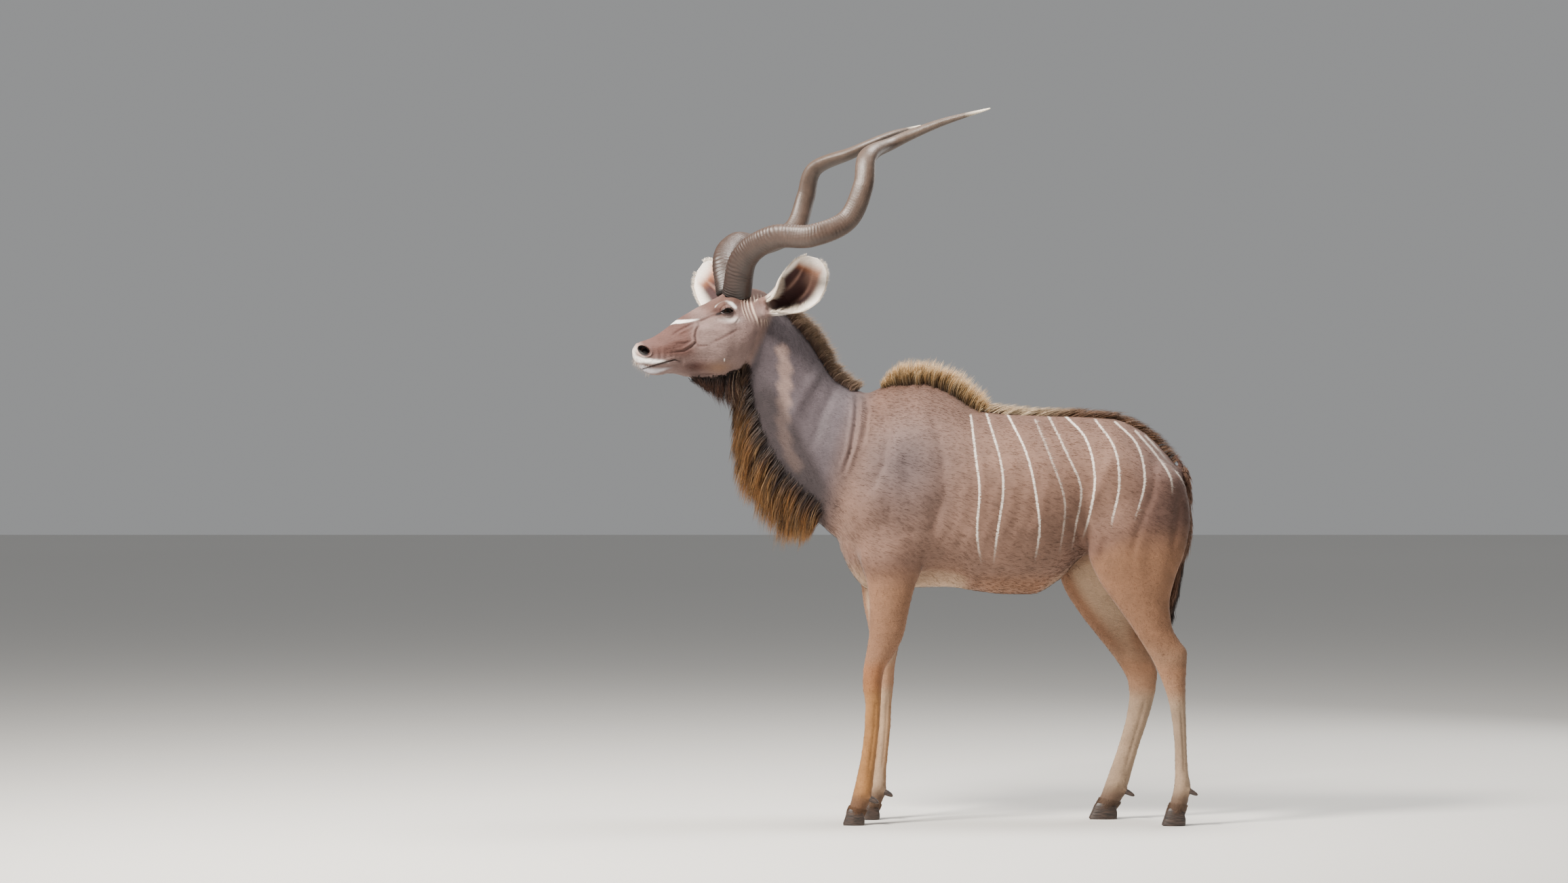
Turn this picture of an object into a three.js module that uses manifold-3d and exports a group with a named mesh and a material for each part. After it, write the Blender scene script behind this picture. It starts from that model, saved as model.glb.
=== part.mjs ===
// A greater kudu bull, life size, standing with its head raised and turned a little to its left.
// Millimetres, +Z up. The bull looks along -X, and its left side is on -Y.
// The torso, neck, head and legs are skins over stations, each a pair of profile points and a half width.
// They are joined, then parted by thin cuts into the named parts of the body. Horns, ears, eyes, hooves,
// dewclaws and the tail are solids of their own, and the manes are locks rooted in the part they grow from.
import * as THREE from 'three';
import { mergeVertices } from 'three/addons/utils/BufferGeometryUtils.js';
import Module from 'manifold-3d';

const wasm = await Module();
wasm.setup();

// Driving sizes
const GAP = 0.3; // left between touching parts
const SIDES = [-1, 1]; // -1 is the bull's left, 1 its right
const NAME_OF = { '-1': 'left', 1: 'right' };
const HEAD_AT = [-483, -70, 1651]; // behind the ears, where the head turns
const HEAD_TURN = (16 * Math.PI) / 180; // towards the bull's left
const EYE_AT = [-155, 68, 20]; // in the head's own frame, muzzle along -X
const EYE_RADIUS = 21;
const HORN_BASE_RADIUS = 43;
const NOSTRIL_AT = [-427, 40, -105];
const HOOF_HEIGHT = 46;

// Each torso station: top x, top z, bottom x, bottom z, half width, narrowing of the top, of the bottom
const TORSO = [
  [884, 1120, 874, 1030, 26, 0.1, 0.1],
  [880, 1142, 862, 975, 84, 0.2, 0.2],
  [862, 1172, 840, 930, 128, 0.25, 0.25],
  [826, 1214, 805, 906, 156, 0.3, 0.3],
  [786, 1257, 760, 896, 172, 0.34, 0.34],
  [742, 1292, 715, 890, 180, 0.38, 0.36],
  [652, 1328, 640, 886, 186, 0.4, 0.36],
  [563, 1335, 563, 874, 180, 0.36, 0.3],
  [474, 1337, 472, 790, 194, 0.32, 0.22],
  [385, 1340, 385, 746, 208, 0.32, 0.2],
  [296, 1344, 296, 747, 212, 0.34, 0.22],
  [207, 1359, 207, 757, 208, 0.4, 0.26],
  [118, 1413, 105, 770, 198, 0.52, 0.34],
  [29, 1445, 0, 768, 188, 0.58, 0.4],
  [-60, 1443, -85, 757, 176, 0.58, 0.44],
  [-110, 1428, -147, 762, 164, 0.52, 0.46],
  [-150, 1412, -192, 800, 148, 0.46, 0.44],
  [-185, 1380, -226, 862, 124, 0.4, 0.4],
  [-205, 1320, -246, 920, 92, 0.3, 0.3],
  [-222, 1240, -250, 985, 48, 0.2, 0.2],
];

// Each neck station: nape x, nape z, throat x, throat z, half width, sideways place,
// narrowing of the nape, of the throat
const NECK = [
  [-40, 1395, -190, 880, 132, 0, 0.5, 0.4],
  [-110, 1408, -250, 925, 136, 0, 0.5, 0.42],
  [-168, 1417, -300, 970, 130, 0, 0.5, 0.44],
  [-215, 1431, -356, 1016, 121, -2, 0.48, 0.44],
  [-262, 1462, -415, 1074, 112, -6, 0.46, 0.42],
  [-300, 1517, -472, 1141, 103, -12, 0.42, 0.4],
  [-330, 1566, -512, 1215, 95, -21, 0.38, 0.36],
  [-358, 1602, -536, 1292, 88, -32, 0.34, 0.32],
  [-392, 1643, -550, 1362, 82, -44, 0.3, 0.3],
  [-425, 1678, -556, 1424, 77, -56, 0.26, 0.28],
  [-452, 1708, -552, 1482, 72, -66, 0.24, 0.26],
  [-490, 1725, -560, 1540, 60, -74, 0.2, 0.2],
];

// Each head station, in the head's own frame: top x, top z, bottom x, bottom z, half width,
// narrowing of the top, of the bottom
const HEAD = [
  [14, 62, -24, -66, 40, 0.1, 0.1],
  [4, 84, -44, -112, 66, 0.15, 0.2],
  [-26, 98, -72, -152, 80, 0.2, 0.3],
  [-66, 104, -104, -180, 86, 0.25, 0.42],
  [-106, 99, -136, -194, 92, 0.3, 0.5],
  [-140, 84, -166, -201, 97, 0.34, 0.56],
  [-166, 71, -192, -203, 90, 0.34, 0.58],
  [-196, 55, -222, -202, 78, 0.32, 0.56],
  [-230, 40, -252, -199, 68, 0.3, 0.54],
  [-265, 20, -282, -193, 60, 0.28, 0.5],
  [-300, 0, -308, -187, 54, 0.26, 0.46],
  [-334, -27, -336, -186, 49, 0.24, 0.4],
  [-368, -51, -364, -191, 46, 0.2, 0.34],
  [-398, -66, -390, -187, 46, 0.14, 0.3],
  [-421, -74, -412, -173, 45, 0.1, 0.26],
  [-437, -84, -430, -160, 38, 0.08, 0.2],
  [-445, -98, -441, -146, 24, 0.05, 0.1],
  [-449, -112, -448, -134, 11, 0, 0],
];

// Each leg station: front x, front z, rear x, rear z, distance from the middle plane, half width
const FORELEG_LEFT = [
  [-150, 1070, 40, 1070, 84, 50],
  [-178, 970, 50, 970, 94, 56],
  [-182, 877, 32, 872, 102, 50],
  [-158, 790, 4, 780, 105, 45],
  [-149, 700, -16, 697, 103, 41],
  [-151, 623, -32, 620, 100, 36],
  [-160, 561, -62, 556, 97, 32],
  [-169, 506, -97, 501, 96, 32],
  [-171, 452, -104, 450, 96, 32],
  [-163, 395, -107, 393, 96, 26],
  [-165, 324, -111, 322, 96, 23],
  [-175, 236, -121, 234, 96, 22],
  [-190, 159, -130, 154, 96, 25],
  [-202, 108, -136, 99, 96, 30],
  [-211, 73, -150, 58, 96, 27],
  [-220, HOOF_HEIGHT, -164, 31, 96, 28],
];
const FORELEG_RIGHT = [
  [-160, 1070, 35, 1070, 84, 50],
  [-192, 970, 40, 970, 94, 56],
  [-196, 871, 16, 866, 102, 50],
  [-174, 786, -10, 778, 105, 45],
  [-164, 709, -22, 702, 103, 41],
  [-150, 642, -32, 636, 100, 36],
  [-138, 570, -44, 566, 97, 32],
  [-127, 506, -56, 503, 96, 32],
  [-124, 450, -60, 448, 96, 32],
  [-119, 392, -66, 390, 96, 26],
  [-121, 309, -70, 307, 96, 23],
  [-127, 219, -78, 220, 96, 22],
  [-138, 150, -84, 150, 96, 25],
  [-144, 108, -84, 104, 96, 30],
  [-154, 74, -97, 60, 96, 27],
  [-165, HOOF_HEIGHT, -110, 31, 96, 28],
];
const HINDLEG_LEFT = [
  [620, 1200, 790, 1210, 80, 36],
  [564, 1120, 878, 1120, 104, 70],
  [552, 1010, 899, 1000, 110, 72],
  [561, 892, 882, 892, 116, 66],
  [596, 805, 850, 805, 119, 57],
  [650, 722, 832, 722, 120, 48],
  [704, 645, 840, 650, 119, 39],
  [742, 585, 864, 604, 118, 32],
  [775, 529, 891, 563, 117, 28],
  [799, 476, 887, 507, 116, 27.5],
  [819, 420, 885, 447, 116, 26],
  [834, 348, 886, 363, 116, 22.5],
  [843, 260, 889, 264, 116, 21.5],
  [845, 178, 893, 177, 116, 24],
  [842, 129, 901, 127, 116, 30],
  [833, 88, 893, 80, 116, 27],
  [820, 50, 879, 36, 116, 29],
];
const HINDLEG_RIGHT = [
  [600, 1200, 780, 1210, 80, 36],
  [514, 1120, 870, 1120, 104, 70],
  [482, 1010, 893, 1000, 110, 72],
  [472, 880, 868, 890, 116, 66],
  [496, 775, 822, 800, 119, 57],
  [546, 690, 786, 708, 120, 48],
  [603, 615, 778, 620, 119, 39],
  [654, 551, 793, 545, 118, 32],
  [688, 503, 815, 484, 117, 28],
  [711, 456, 811, 438, 116, 27.5],
  [716, 408, 801, 389, 116, 26],
  [707, 342, 780, 317, 116, 22.5],
  [684, 256, 753, 236, 116, 21.5],
  [658, 178, 730, 155, 116, 24],
  [640, 128, 716, 104, 116, 30],
  [624, 84, 698, 66, 116, 27],
  [604, 46, 676, 36, 116, 29],
];

// Tail: front x, front z, rear x, rear z, distance from the middle plane, half width
const TAIL = [
  [846, 1196, 868, 1216, 0, 22],
  [872, 1150, 900, 1166, 0, 24],
  [887, 1100, 911, 1104, 0, 25],
  [889, 1010, 912, 1012, 0, 27],
  [881, 930, 907, 930, 0, 30],
  [866, 870, 889, 872, 0, 32],
  [854, 810, 877, 812, 0, 32],
  [845, 750, 866, 752, 0, 28],
  [838, 703, 853, 705, 0, 18],
  [835, 680, 842, 682, 0, 6],
];

// Muscles and hollows: centre, reach along x, y and z, height; each is made on both sides
const BODY_FORMS = [
  { at: [10, 170, 1280], reach: [90, 90, 130], height: 9 },
  { at: [-205, 118, 1020], reach: [70, 80, 90], height: 15 },
  { at: [-20, 160, 930], reach: [90, 70, 90], height: 10 },
  { at: [110, 190, 960], reach: [50, 80, 160], height: -7 },
  { at: [556, 185, 1130], reach: [70, 80, 110], height: -13 },
  { at: [640, 150, 1265], reach: [60, 70, 40], height: 10 },
  { at: [740, 175, 1060], reach: [110, 80, 120], height: 12 },
  { at: [-150, 120, 1330], reach: [60, 90, 100], height: -8 },
];
const HEAD_FORMS = [
  { at: [-150, 70, 30], reach: [48, 52, 38], height: 25 },
  { at: [-146, 84, 50], reach: [34, 36, 14], height: 6 },
  { at: [-190, 72, -30], reach: [60, 40, 22], height: 6 },
  { at: [-100, 76, -105], reach: [56, 50, 56], height: 8 },
  { at: [-262, 48, -18], reach: [52, 34, 24], height: -7 },
  { at: [-424, 40, -106], reach: [24, 26, 24], height: 7 },
  { at: [-390, 44, -140], reach: [52, 26, 13], height: 5 },
  { at: [-384, 20, -176], reach: [34, 40, 12], height: 4 },
];

// Line of the mouth on the side of the muzzle, from its corner forwards: x, z
const MOUTH_LINE = [
  [-288, -132],
  [-330, -136],
  [-370, -143],
  [-410, -151],
  [-460, -154],
];

// Horn centreline in the head's own frame: forward, outward, up
const HORN_PATH = [
  [105, 36, 80],
  [100, 116, 194],
  [30, 212, 252],
  [-69, 302, 254],
  [-185, 313, 307],
  [-234, 332, 421],
  [-254, 306, 511],
  [-366, 222, 567],
  [-503, 270, 628],
  [-649, 362, 673],
];
const HORN_TWIST = 2.2; // turn of the keel from base to tip, beyond that of the spiral
const HORN_KEEL = 0.24; // how far the keel stands out, as a share of the radius
const HORN_FLATNESS = 0.14;
const HORN_TAPER = [1, 0.93, 0.85, 0.77, 0.72, 0.68, 0.6, 0.46, 0.3, 0.06];

// Ears in the head's own frame: root, elbow and tip of the middle line, and the way the cup opens
const EARS = {
  '-1': { root: [-24, -98, 36], elbow: [82, -142, 70], tip: [112, -160, 197], open: [0.03, -0.98, 0.05] },
  1: { root: [-42, 100, 28], elbow: [-98, 180, 78], tip: [-150, 278, 180], open: [-0.75, -0.59, 0] },
};
// Each ear station: share of the length, radius of the curl, half angle of the curl in degrees
const EAR_CURL = [
  [0, 31, 150],
  [0.12, 39, 140],
  [0.26, 52, 115],
  [0.42, 67, 93],
  [0.58, 77, 77],
  [0.74, 81, 60],
  [0.87, 88, 42],
  [0.95, 94, 25],
  [1, 96, 8],
];
const EAR_BOW = 20; // how far the back of the ear arches
const EAR_BACK = 20; // from the middle line to the back of the ear at its root
const EAR_STEM_BACK = 28; // from the root of the ear to the root of its stem, towards the muzzle
const EAR_STEM_DROP = 22;
const EAR_STEM_RUN = 18; // straight below the ear before the stem bends inwards

// Outer edges of the manes in the side view, in millimetres: x, z
const THROAT_EDGE = [
  [-352, 900],
  [-400, 868],
  [-452, 866],
  [-480, 898],
  [-512, 940],
  [-560, 1004],
  [-590, 1054],
  [-602, 1112],
  [-604, 1185],
  [-602, 1274],
  [-597, 1362],
];
const CREST_EDGE = [
  [-104, 1450],
  [-76, 1494],
  [-20, 1526],
  [51, 1524],
  [120, 1510],
  [168, 1488],
  [214, 1446],
  [268, 1390],
];
const DORSAL_EDGE = [
  [278, 1380],
  [400, 1364],
  [560, 1358],
  [690, 1338],
  [780, 1288],
  [866, 1204],
];
// Lower edge of the beard, in the head's own frame
const BEARD_EDGE = [
  [-128, -330],
  [-160, -328],
  [-200, -300],
  [-252, -244],
];

const LOCK_SHORTEST = 0.95; // of the length to the edge of its mane
const LOCK_LONGEST = 1.08;

// Cuts in the side view: the head from the neck, the neck from the torso, each leg below the chest or belly
const HEAD_CUT = [
  [-552, 1482],
  [-452, 1708],
];
const NECK_CUT = [
  [-300, 970],
  [-168, 1417],
];
const TAIL_CUT = [
  [850, 1137.5],
  [906, 1169.5],
];
const FORELEG_CUT = [
  [-500, -60],
  [150, -60],
  [150, 752],
  [-500, 752],
];
const HINDLEG_CUT = [
  [380, -60],
  [1000, -60],
  [1000, 880],
  [577, 880],
  [380, 738],
];
const LEG_CUT_GAP = 1.3 * GAP; // straight up, so that the sloping cut is wide enough too
const LEG_CUT_HALF_SPAN = 400;

const UP = new THREE.Vector3(0, 1, 0); // along which cylinders are made

const GREY_COAT = new THREE.MeshStandardMaterial({ color: 0x9c8a80, roughness: 0.85, metalness: 0 });
const LEG_COAT = new THREE.MeshStandardMaterial({ color: 0xb08a66, roughness: 0.85, metalness: 0 });
const HORN = new THREE.MeshStandardMaterial({ color: 0x6d5a4e, roughness: 0.55, metalness: 0 });
const HOOF = new THREE.MeshStandardMaterial({ color: 0x2e2825, roughness: 0.45, metalness: 0 });
const EYE = new THREE.MeshStandardMaterial({ color: 0x1a0f0a, roughness: 0.08, metalness: 0 });

// A repeatable draw between 0 and 1
function seeded(seed) {
  let state = seed;
  return () => {
    state = (state * 1664525 + 1013904223) % 4294967296;
    return state / 4294967296;
  };
}

// Slopes of a curve through the values that never swings past them
function slopesOf(values) {
  const steps = values.slice(1).map((v, i) => v - values[i]);
  return values.map((_, i) => {
    if (i === 0) return steps[0];
    if (i === values.length - 1) return steps[i - 1];
    const before = steps[i - 1];
    const after = steps[i];
    return before * after <= 0 ? 0 : (2 * before * after) / (before + after);
  });
}

// The rows of numbers read at a place t, counted in rows, along a smooth curve through them
function reader(rows) {
  const columns = rows[0].map((_, c) => rows.map((row) => row[c]));
  const slopes = columns.map(slopesOf);
  return (t) => {
    const i = Math.min(rows.length - 2, Math.max(0, Math.floor(t)));
    const f = t - i;
    const rise = f * f * (3 - 2 * f);
    const leaving = f * (1 - f) * (1 - f);
    const arriving = f * f * (1 - f);
    return columns.map(
      (v, c) => v[i] + (v[i + 1] - v[i]) * rise + slopes[c][i] * leaving - slopes[c][i + 1] * arriving,
    );
  };
}

// A geometry from rings of points, each ring closed, with a fan over each end
function closedFromRings(rings) {
  const sides = rings[0].length;
  const positions = rings.flat().flatMap((p) => [p.x, p.y, p.z]);
  const index = [];
  for (let r = 0; r + 1 < rings.length; r++) {
    for (let s = 0; s < sides; s++) {
      const a = r * sides + s;
      const b = r * sides + ((s + 1) % sides);
      index.push(a, b, a + sides, b, b + sides, a + sides);
    }
  }
  [0, rings.length - 1].forEach((r, end) => {
    const centre = rings[r].reduce((sum, p) => sum.add(p), new THREE.Vector3()).divideScalar(sides);
    const hub = positions.length / 3;
    positions.push(centre.x, centre.y, centre.z);
    for (let s = 0; s < sides; s++) {
      const a = r * sides + s;
      const b = r * sides + ((s + 1) % sides);
      index.push(...(end ? [a, b, hub] : [b, a, hub]));
    }
  });
  const geometry = new THREE.BufferGeometry();
  geometry.setAttribute('position', new THREE.Float32BufferAttribute(positions, 3));
  geometry.setIndex(index);
  return geometry;
}

// A closed geometry as a solid, turned face out if its rings ran the other way
function solidOf(geometry) {
  const plain = geometry.clone();
  ['normal', 'uv'].forEach((name) => plain.deleteAttribute(name));
  const merged = mergeVertices(plain, 1e-4);
  const vertProperties = merged.attributes.position.array;
  const make = (triVerts) => new wasm.Manifold(new wasm.Mesh({ numProp: 3, vertProperties, triVerts }));
  const triangles = new Uint32Array(merged.index.array);
  const made = make(triangles);
  if (made.volume() > 0) return made;
  for (let i = 0; i < triangles.length; i += 3) {
    [triangles[i + 1], triangles[i + 2]] = [triangles[i + 2], triangles[i + 1]];
  }
  return make(triangles);
}

const joined = (solids) => solids.reduce((all, one) => all.add(one));

// The largest closed surface of a solid, without scraps or sealed hollows
function largest(solid) {
  return solid.decompose().reduce((best, body) => (body.volume() > best.volume() ? body : best));
}

// A solid moved by a matrix
const moved = (solid, matrix) => solid.transform(matrix.elements);

// How far the forms push the skin out at a point
function pushOf(point, forms) {
  return forms.reduce((sum, form) => {
    const [x, y, z] = form.at;
    const [rx, ry, rz] = form.reach;
    const far = ((point.x - x) / rx) ** 2 + ((Math.abs(point.y) - y) / ry) ** 2 + ((point.z - z) / rz) ** 2;
    return sum + form.height * Math.exp(-far);
  }, 0);
}

// A point of the ring at one station, from the lower profile point at -PI/2 to the upper at PI/2
function ringPoint(station, angle, forms) {
  const across = Math.cos(angle);
  const along = Math.sin(angle);
  const narrow = along > 0 ? station.narrowTop : station.narrowBottom;
  const width = station.half * across * (1 - narrow * along * along);
  const centre = station.top.clone().add(station.bottom).multiplyScalar(0.5);
  const reach = station.top.clone().sub(station.bottom).multiplyScalar(0.5 * along);
  const point = centre.clone().add(reach).add(new THREE.Vector3(0, width, 0));
  const out = point.clone().sub(centre).normalize();
  return point.addScaledVector(out, pushOf(point, forms));
}

// A skin over stations, each { top, bottom, half, narrowTop, narrowBottom }
function skinOver(rows, toStation, { perStep = 1, sides = 24, forms = [] } = {}) {
  const read = reader(rows);
  const count = (rows.length - 1) * perStep;
  const rings = [];
  for (let r = 0; r <= count; r++) {
    const station = toStation(read(r / perStep));
    rings.push(
      Array.from({ length: sides }, (_, s) => ringPoint(station, (2 * Math.PI * s) / sides, forms)),
    );
  }
  return closedFromRings(rings);
}

const torsoStation = ([ax, az, bx, bz, half, narrowTop, narrowBottom]) => ({
  top: new THREE.Vector3(ax, 0, az),
  bottom: new THREE.Vector3(bx, 0, bz),
  half,
  narrowTop,
  narrowBottom,
});
const neckStation = ([ax, az, bx, bz, half, y, narrowTop, narrowBottom]) => ({
  top: new THREE.Vector3(ax, y, az),
  bottom: new THREE.Vector3(bx, y, bz),
  half,
  narrowTop,
  narrowBottom,
});
const readNeck = reader(NECK);
const readTail = reader(TAIL);
const limbStation = (side) => ([fx, fz, rx, rz, y, half]) => ({
  top: new THREE.Vector3(fx, side * y, fz),
  bottom: new THREE.Vector3(rx, side * y, rz),
  half,
  narrowTop: 0.1,
  narrowBottom: 0.2,
});

const headMatrix = new THREE.Matrix4()
  .makeTranslation(...HEAD_AT)
  .multiply(new THREE.Matrix4().makeRotationZ(HEAD_TURN));

// The solid on one side of a plane that lies across the body: through two points of the side view
function parted(solid, [x0, z0], [x1, z1]) {
  const along = new THREE.Vector2(x1 - x0, z1 - z0).normalize();
  const normal = [-along.y, 0, along.x];
  const place = normal[0] * x0 + normal[2] * z0;
  return [
    solid.trimByPlane(normal, place + GAP / 2),
    solid.trimByPlane(
      normal.map((n) => -n),
      -(place - GAP / 2),
    ),
  ];
}

// A ball at the place of an eye
function ball(radius, side) {
  const geometry = new THREE.SphereGeometry(radius, 12, 8);
  geometry.translate(EYE_AT[0], side * EYE_AT[1], EYE_AT[2]);
  return solidOf(geometry);
}

// The eye with its lids: the socket is cut and an almond opening is left in the lids
function withEyes(head) {
  const lidRadius = EYE_RADIUS + 4.5;
  const openingLength = 21; // from the middle to each corner
  const openingRise = 24;
  const openingDrop = 20;
  const cornerDrop = 3; // of the front corner below the rear one
  const depth = 60;
  const almond = new THREE.Shape();
  almond.moveTo(-openingLength, -cornerDrop);
  almond.quadraticCurveTo(0, openingRise, openingLength, 2);
  almond.quadraticCurveTo(0, -openingDrop, -openingLength, -cornerDrop);
  let made = head;
  SIDES.forEach((side) => {
    const opening = new THREE.ExtrudeGeometry(almond, { depth, bevelEnabled: false, curveSegments: 4 });
    opening.rotateX(side < 0 ? Math.PI / 2 : -Math.PI / 2);
    if (side > 0) opening.scale(1, 1, -1);
    opening.translate(EYE_AT[0], side * (EYE_AT[1] + 6), EYE_AT[2]);
    const socket = ball(EYE_RADIUS + GAP, side);
    made = made.add(ball(lidRadius, side)).subtract(solidOf(opening)).subtract(socket);
  });
  return made;
}

// Nostrils, each an oval pit that faces forward and out
function withNostrils(head) {
  const [length, width, height] = [18, 13, 15];
  const toed = 0.5; // turned outwards, in radians
  let made = head;
  SIDES.forEach((side) => {
    const pit = new THREE.SphereGeometry(1, 10, 7);
    pit.scale(length, width, height);
    pit.rotateZ(-side * toed);
    pit.translate(NOSTRIL_AT[0], side * NOSTRIL_AT[1], NOSTRIL_AT[2]);
    made = made.subtract(solidOf(pit));
  });
  return made;
}

// The line of the mouth, a shallow slot round the muzzle that leaves the middle whole
function withMouth(head) {
  const depth = 6;
  const height = 3;
  const halfSpan = 70; // beyond the lips on both sides
  const muzzleFrom = 8; // first head station of the muzzle
  const corners = [
    [-halfSpan, height / 2],
    [halfSpan, height / 2],
    [halfSpan, -height / 2],
    [-halfSpan, -height / 2],
  ];
  const slot = closedFromRings(
    MOUTH_LINE.map(([x, z]) => corners.map(([y, lift]) => new THREE.Vector3(x, y, z + lift))),
  );
  const inner = HEAD.slice(muzzleFrom).map(([ax, az, bx, bz, half, top, bottom]) => [
    ax + depth,
    az - depth,
    bx + depth,
    bz + depth,
    half - depth,
    top,
    bottom,
  ]);
  const core = solidOf(skinOver(inner, torsoStation, { sides: 16 }));
  return head.subtract(solidOf(slot).subtract(core));
}

function hornPath(side) {
  const points = HORN_PATH.map(([forward, out, up]) => new THREE.Vector3(-forward, side * out, up));
  return new THREE.CatmullRomCurve3(points, false, 'centripetal');
}

// A horn: a keeled tube along its centreline, whose keel turns as the horn climbs
function hornSolid(side, clearance = 0) {
  const path = hornPath(side);
  const steps = 36;
  const hornSides = 10;
  const { tangents, normals, binormals } = path.computeFrenetFrames(steps);
  const taper = reader(HORN_TAPER.map((value) => [value]));
  const rings = tangents.map((tangent, i) => {
    const t = i / steps;
    const centre = path.getPointAt(t).addScaledVector(tangent, i ? 0 : -clearance);
    const radius = HORN_BASE_RADIUS * taper(t * (HORN_TAPER.length - 1))[0] + clearance;
    return Array.from({ length: hornSides }, (_, s) => {
      const angle = (2 * Math.PI * s) / hornSides;
      const turned = angle + side * HORN_TWIST * t;
      const keel = HORN_KEEL * Math.max(0, Math.cos(angle)) ** 6;
      const reach = radius * (1 + keel) * (1 - HORN_FLATNESS * Math.sin(angle) ** 2);
      return centre
        .clone()
        .addScaledVector(normals[i], Math.cos(turned) * reach)
        .addScaledVector(binormals[i], Math.sin(turned) * reach);
    });
  });
  return solidOf(closedFromRings(rings));
}

// The bony core that a horn stands on, from inside the skull to just short of the horn
function pedicle(side) {
  const path = hornPath(side);
  const depth = 64;
  const core = new THREE.CylinderGeometry(HORN_BASE_RADIUS * 0.97, HORN_BASE_RADIUS * 0.8, depth, 16);
  core.translate(0, -depth / 2 - GAP, 0);
  core.applyQuaternion(new THREE.Quaternion().setFromUnitVectors(UP, path.getTangentAt(0)));
  core.translate(...path.getPointAt(0).toArray());
  return solidOf(core);
}

// The middle line of an ear, from its root to its tip, and the way it opens
function earFrame(side) {
  const { root, elbow, tip, open } = EARS[side];
  const path = new THREE.QuadraticBezierCurve3(...[root, elbow, tip].map((p) => new THREE.Vector3(...p)));
  const at = (share) => {
    const along = path.getTangentAt(share);
    const facing = new THREE.Vector3(...open);
    facing.addScaledVector(along, -facing.dot(along)).normalize();
    return { centre: path.getPointAt(share), along, facing, across: along.clone().cross(facing) };
  };
  return at;
}

// An ear: a cupped leaf, thin at the rim, curled into a funnel at its root
function earSolid(side) {
  const at = earFrame(side);
  const thickness = 5;
  const rimThickness = 3;
  const arcPoints = 8;
  const steps = 12;
  const read = reader(EAR_CURL);
  const rings = [];
  for (let i = 0; i <= steps; i++) {
    const [share, radius, halfAngle] = read((i / steps) * (EAR_CURL.length - 1));
    const { centre, facing, across } = at(share);
    const bow = EAR_BOW * Math.sin(Math.PI * share) + EAR_BACK * (1 - share);
    const half = (halfAngle * Math.PI) / 180;
    const arc = (curl, lift) =>
      Array.from({ length: arcPoints }, (_, k) => {
        const angle = -half + (2 * half * k) / (arcPoints - 1);
        return centre
          .clone()
          .addScaledVector(across, curl * Math.sin(angle))
          .addScaledVector(facing, lift - bow + curl * (1 - Math.cos(angle)));
      });
    const thin = share > 0.9 ? rimThickness : thickness;
    rings.push([...arc(radius, 0), ...arc(radius - thin, thin).reverse()]);
  }
  return solidOf(closedFromRings(rings));
}

// The root of an ear on the head: a stem that bends out of the skull and ends just short of the ear
function earStem(side) {
  const { centre, along, facing } = earFrame(side)(0);
  const sides = 12;
  const steps = 3;
  const radius = EAR_CURL[0][1] + 3;
  const widening = 8;
  const inner = new THREE.Vector3(centre.x - EAR_STEM_BACK, centre.y * 0.3, centre.z - EAR_STEM_DROP);
  const outer = centre.clone().addScaledVector(facing, EAR_CURL[0][1] - EAR_BACK);
  outer.addScaledVector(along, -GAP);
  const below = outer.clone().addScaledVector(along, -EAR_STEM_RUN);
  const path = new THREE.QuadraticBezierCurve3(outer, below, inner);
  const across = along.clone().cross(facing);
  const rings = path.getPoints(steps).map((at, ring) => {
    const reach = radius + (widening * ring) / steps;
    return Array.from({ length: sides }, (_, s) => {
      const angle = (2 * Math.PI * s) / sides;
      return at
        .clone()
        .addScaledVector(facing, reach * Math.cos(angle))
        .addScaledVector(across, reach * Math.sin(angle));
    });
  });
  return solidOf(closedFromRings(rings));
}

// One toe of a hoof, flat on the ground, its top parallel to the end of the leg
function toe(legRows, side, lateral) {
  const [fx, fz, rx, rz, y] = legRows[legRows.length - 1];
  const lean = (fx - legRows[legRows.length - 2][0]) * 0.5;
  const splay = 15.5;
  const rows = [
    [fx + 1, fz - GAP, rx - 1, rz - GAP, 12.5],
    [fx + lean * 0.5 - 3, fz * 0.55, rx + 2, rz * 0.55, 14],
    [fx + lean - 8, 3, rx + 1, 3, 14.6],
    [fx + lean - 7, 0, rx - 1, 0, 13.8],
  ];
  const offset = side * y + lateral * splay;
  return skinOver(
    rows,
    ([ax, az, bx, bz, half]) => ({
      top: new THREE.Vector3(ax, offset, az),
      bottom: new THREE.Vector3(bx, offset, bz),
      half,
      narrowTop: 0.35,
      narrowBottom: 0.05,
    }),
    { sides: 10 },
  );
}

// Where a dewclaw grows: behind the fetlock, on each side of it
function dewclawFrame(legRows, side, lateral) {
  const [, , rx, rz, y] = legRows[legRows.length - 3];
  const base = new THREE.Vector3(rx - 6, side * y + lateral * 15, rz - 14);
  const out = new THREE.Vector3(0.86, lateral * 0.28, -0.42).normalize();
  return { base, out };
}

// A tapered peg that stands on the base of a dewclaw, from one distance out of it to another
function dewclawPeg({ base, out }, tipRadius, rootRadius, from, to) {
  const peg = new THREE.CylinderGeometry(tipRadius, rootRadius, to - from, 8);
  peg.translate(0, (from + to) / 2, 0);
  peg.applyQuaternion(new THREE.Quaternion().setFromUnitVectors(UP, out));
  peg.translate(...base.toArray());
  return solidOf(peg);
}

const DEWCLAW_FOOT = 6; // where the pad ends and the claw begins, out of the leg
const DEWCLAW_LENGTH = 24;
const DEWCLAW_ROOT = DEWCLAW_FOOT + GAP;
const dewclaw = (frame) => dewclawPeg(frame, 5, 9.5, DEWCLAW_ROOT, DEWCLAW_ROOT + DEWCLAW_LENGTH);
const dewclawPad = (frame) => dewclawPeg(frame, 10, 13, DEWCLAW_FOOT - 30, DEWCLAW_FOOT);

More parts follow.
